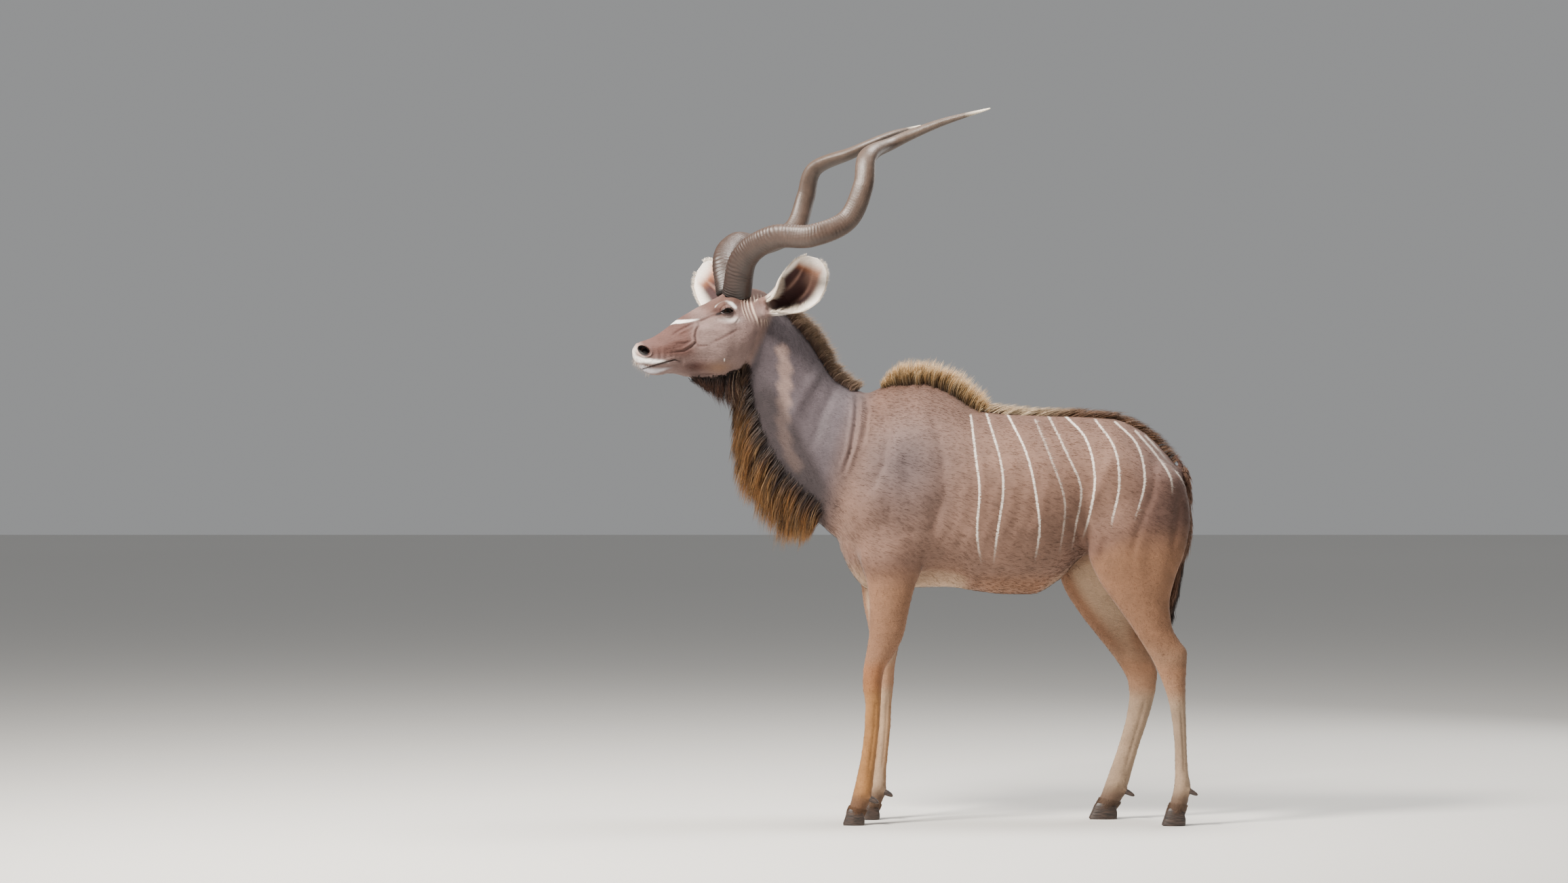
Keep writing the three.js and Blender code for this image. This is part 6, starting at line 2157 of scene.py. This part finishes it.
@dataclass(frozen=True)
class HornFinish(Finish):
    """Weathered keratin: brown-grey, darkest at the root, worn to pale ivory at the tip.

    Fibres run along the horn, some 6 mm apart. Mottles are 2 cm.
    """

    name: str = "KuduHorn"
    base: str = "#281b16"
    middle: str = "#42332b"
    upper: str = "#4a3d34"
    tip: str = "#ded2bc"
    # darkest colour, at the very root of the horn only
    root_dark: str = "#18110e"
    roughness: float = 0.48

    def wire(self, tree: NodeTree, place: NodeSocket) -> dict:
        """Colour along the horn, broken by fibres and mottles that also roughen it."""
        growth = add_node(tree, "Attribute", attribute_name="Growth")["Color"]
        split = add_node(tree, "SeparateColor", {"Color": growth})
        ramp = add_node(tree, "ValToRGB", {"Fac": split["Red"]}, stops=(
            (0.0, self.root_dark), (0.03, self.base), (0.35, self.middle), (0.93, self.upper),
            (0.985, self.tip)))
        along = add_node(tree, "CombineXYZ", {"X": split["Red"], "Y": split["Blue"]})["Vector"]
        grow = add_node(tree, "Mapping", {"Vector": along, "Scale": (30, 26, 1)})["Vector"]
        fibre, mottle = (
            add_node(tree, "TexNoise", {"Vector": source, "Scale": scale, "Detail": 6,
                                        "Roughness": rough})["Fac"]
            for source, scale, rough in ((grow, 1.6, 0.7), (place, 45, 0.65)))
        shade = add_node(tree, "Math", {0: fibre, 1: 0.9, 2: 0.5}, operation="MULTIPLY_ADD")[0]
        spots = add_node(tree, "Math", {0: mottle, 1: shade, 2: 0.1}, operation="MULTIPLY_ADD")[0]
        bright = add_node(tree, "Math", {0: spots, 1: 1.1, 2: 0.42}, operation="MULTIPLY_ADD")[0]
        base = add_node(tree, "VectorMath", {0: ramp["Color"], "Scale": bright}, operation="SCALE")["Vector"]
        bump = add_node(tree, "Bump", {"Height": spots, "Strength": 0.7, "Distance": 0.0015})["Normal"]
        return {"Base Color": base, "Normal": bump, "Roughness": self.roughness}


@dataclass(frozen=True)
class EyeFinish(Finish):
    """A wet, very dark eye: brown iris, level black pupil, clear gloss with the index of a tear film."""

    name: str = "KuduEye"
    iris: str = "#140a05"
    pupil: str = "#020101"
    rim: str = "#0d0705"
    film_index: float = 1.376

    def wire(self, tree: NodeTree, place: NodeSocket) -> dict:
        """Pupil, iris and rim by their distance from the middle, with an edge broken by 2 mm noise."""
        iris = add_node(tree, "Attribute", attribute_name="Iris")["Fac"]
        noise = add_node(tree, "TexNoise", {"Vector": place, "Scale": 500, "Detail": 3})["Fac"]
        off = add_node(tree, "Math", {0: noise, 1: iris, 2: iris}, operation="MULTIPLY_ADD")[0]
        ramp = add_node(tree, "ValToRGB", {"Fac": off}, stops=(
            (0.3, self.pupil), (0.42, self.iris), (0.8, self.iris), (0.98, self.rim)))
        return {"Base Color": ramp["Color"], "Roughness": 0.12, "Specular IOR Level": 0.05,
                "Coat Weight": 0.6, "Coat Roughness": 0.02, "Coat IOR": self.film_index}


@dataclass(frozen=True)
class GrainFinish(Finish):
    """A material of two colours that change with one grain, which also roughens it."""

    dark: str
    light: str
    span: tuple[float, float]  # where the grain turns from dark to light
    scale: float
    detail: float
    grain: float  # the noise's own roughness
    squash: tuple[float, float, float]
    strength: float
    relief: float  # height of the grain in metres
    roughness: float

    def wire(self, tree: NodeTree, place: NodeSocket) -> dict:
        """One noise for colour and relief."""
        flat = add_node(tree, "Mapping", {"Vector": place, "Scale": self.squash})["Vector"]
        noise = add_node(tree, "TexNoise", {"Vector": flat, "Scale": self.scale, "Detail": self.detail,
                                            "Roughness": self.grain})["Fac"]
        ramp = add_node(tree, "ValToRGB", {"Fac": noise}, stops=((self.span[0], self.dark),
                                                                 (self.span[1], self.light)))
        bump = add_node(tree, "Bump", {"Height": noise, "Strength": self.strength, "Distance": self.relief})
        return {"Base Color": ramp["Color"], "Normal": bump["Normal"], "Roughness": self.roughness}


# Bare moist skin of the lids' edges, with pores of 1 mm
SKIN_FINISH = GrainFinish("KuduBareSkin", "#1c1110", "#3a2320", (0.3, 0.75), 900, 4, 0.5, (1, 1, 1),
                          0.4, 0.0005, 0.38)
# Dark hoof horn with bands across it, 2 to 3 mm apart, dusty between them
HOOF_FINISH = GrainFinish("KuduHoof", "#191311", "#4a3a31", (0.35, 0.7), 190, 5, 0.6, (0.3, 0.3, 2.2),
                          0.5, 0.001, 0.45)


@dataclass(frozen=True)
class FloorFinish(Finish):
    """Matt studio paper, so faintly uneven that the eye takes it as plain."""

    name: str = "StudioFloor"
    dark: str = "#d6d4d0"
    light: str = "#dbd9d5"

    def wire(self, tree: NodeTree, place: NodeSocket) -> dict:
        """Two near tones in patches as wide as a third of the floor."""
        noise = add_node(tree, "TexNoise", {"Scale": 3.0, "Detail": 3.0})["Fac"]
        ramp = add_node(tree, "ValToRGB", {"Fac": noise}, stops=((0.3, self.dark), (0.7, self.light)))
        return {"Base Color": ramp["Color"], "Roughness": 0.8}


@dataclass
class Studio:
    """A pale floor, soft light and the camera at the photo's viewing angle."""

    camera_at: tuple = (-425.0, -13000.0, 1250.0)
    sensor: float = 36.0
    focal_share: float = 5837 / 2312  # focal length over the width of the picture
    floor_reach: float = 40.0
    sky: tuple = (0.86, 0.87, 0.88, 1)
    sky_strength: float = 0.36
    # Name, place, aim, size, power in watts and colour of each lamp, in metres
    lamps: tuple = (
        ("key_light", (-2.6, -2.4, 4.4), (0.1, 0, 1.1), 1.1, 780, (1.0, 0.94, 0.86)),
        ("fill_light", (-4.5, -2.5, 2.0), (-0.2, 0, 1.1), 3.0, 30, (0.93, 0.96, 1.0)),
        ("top_light", (0.6, 0.3, 5.0), (0.1, 0, 1.2), 1.6, 280, (1.0, 0.97, 0.93)),
        ("rim_light", (3.4, 3.4, 2.6), (0.1, 0, 1.0), 2.4, 90, (1.0, 0.98, 0.95)),
    )

    def build(self) -> None:
        """Set up floor, lights, world and camera."""
        self.floor()
        for name, at, aim, size, power, colour in self.lamps:
            lamp = bpy.data.lights.new(name, "AREA")
            lamp.size, lamp.energy, lamp.color = size, power, colour
            self.place(name, lamp, at, (Vector(aim) - Vector(at)).to_track_quat("-Z", "Y").to_euler())
        world = bpy.data.worlds.new("studio_world")
        world.use_nodes = True
        background = next(node for node in world.node_tree.nodes if node.type == "BACKGROUND")
        background.inputs["Color"].default_value = self.sky
        background.inputs["Strength"].default_value = self.sky_strength
        bpy.context.scene.world = world
        lens = bpy.data.cameras.new("photo_camera")  # level, and far off on the bull's left
        lens.sensor_width, lens.lens, lens.clip_end = self.sensor, self.sensor * self.focal_share, 200
        at = (np.array(self.camera_at) + ORIGIN) * MM
        bpy.context.scene.camera = self.place("photo_camera", lens, at, (math.pi / 2, 0, 0))

    def place(self, name: str, data: bpy.types.ID, at: tuple, turn: tuple) -> bpy.types.Object:
        """Put a lamp, a camera or a mesh in the scene."""
        holder = bpy.data.objects.new(name, data)
        holder.location, holder.rotation_euler = at, turn
        bpy.context.scene.collection.objects.link(holder)
        return holder

    def floor(self) -> None:
        """A wide pale floor."""
        mesh = bpy.data.meshes.new("floor")
        reach = self.floor_reach
        corners = [(-reach, -reach, 0), (reach, -reach, 0), (reach, reach, 0), (-reach, reach, 0)]
        mesh.from_pydata(corners, [], [(0, 1, 2, 3)])
        mesh.materials.append(FloorFinish().make())
        self.place("floor", mesh, (0, 0, 0), (0, 0, 0))


def main() -> None:
    """Build the studio, the skin, the hard parts and the coat, and report each piece."""
    logging.basicConfig(level=logging.INFO, format="%(name)s: %(message)s")
    Studio().build()
    coat, mane, horn, hoof, eye, rim = (finish.make() for finish in (
        CoatFinish(), HairFinish(), HornFinish(), HOOF_FINISH, EyeFinish(), SKIN_FINISH))
    hide = Hide()
    hide.dress("skin", coat)
    for side in SIDES:
        Horn(side).build(horn)
        Eye(side).build(eye)
        LidRim(side).build(rim)
    for name in LEGS:
        Hoof(name).build(hoof)
        Dewclaws(name).build(hoof)
    back = BackMane()
    for grow in (ThroatMane().build, Beard().build, back.nape, back.crest, back.dorsal, TailHair().build,
                 EarHair().build):
        grow(mane)
    short = ShortCoat(hide)
    short.build(Area.TRUNK, 20000, (12, 22), (1.0, 2.0), 21, coat)
    short.build(Area.NECK, 9000, (8, 16), (0.7, 1.3), 22, coat)
    short.build(Area.LEGS, 16000, (6, 13), (0.7, 1.3), 23, coat)
    short.build(Area.HEAD, 12000, (4, 8), (0.5, 0.9), 24, coat)
    Fringe().build(mane)


if __name__ == "__main__":
    main()
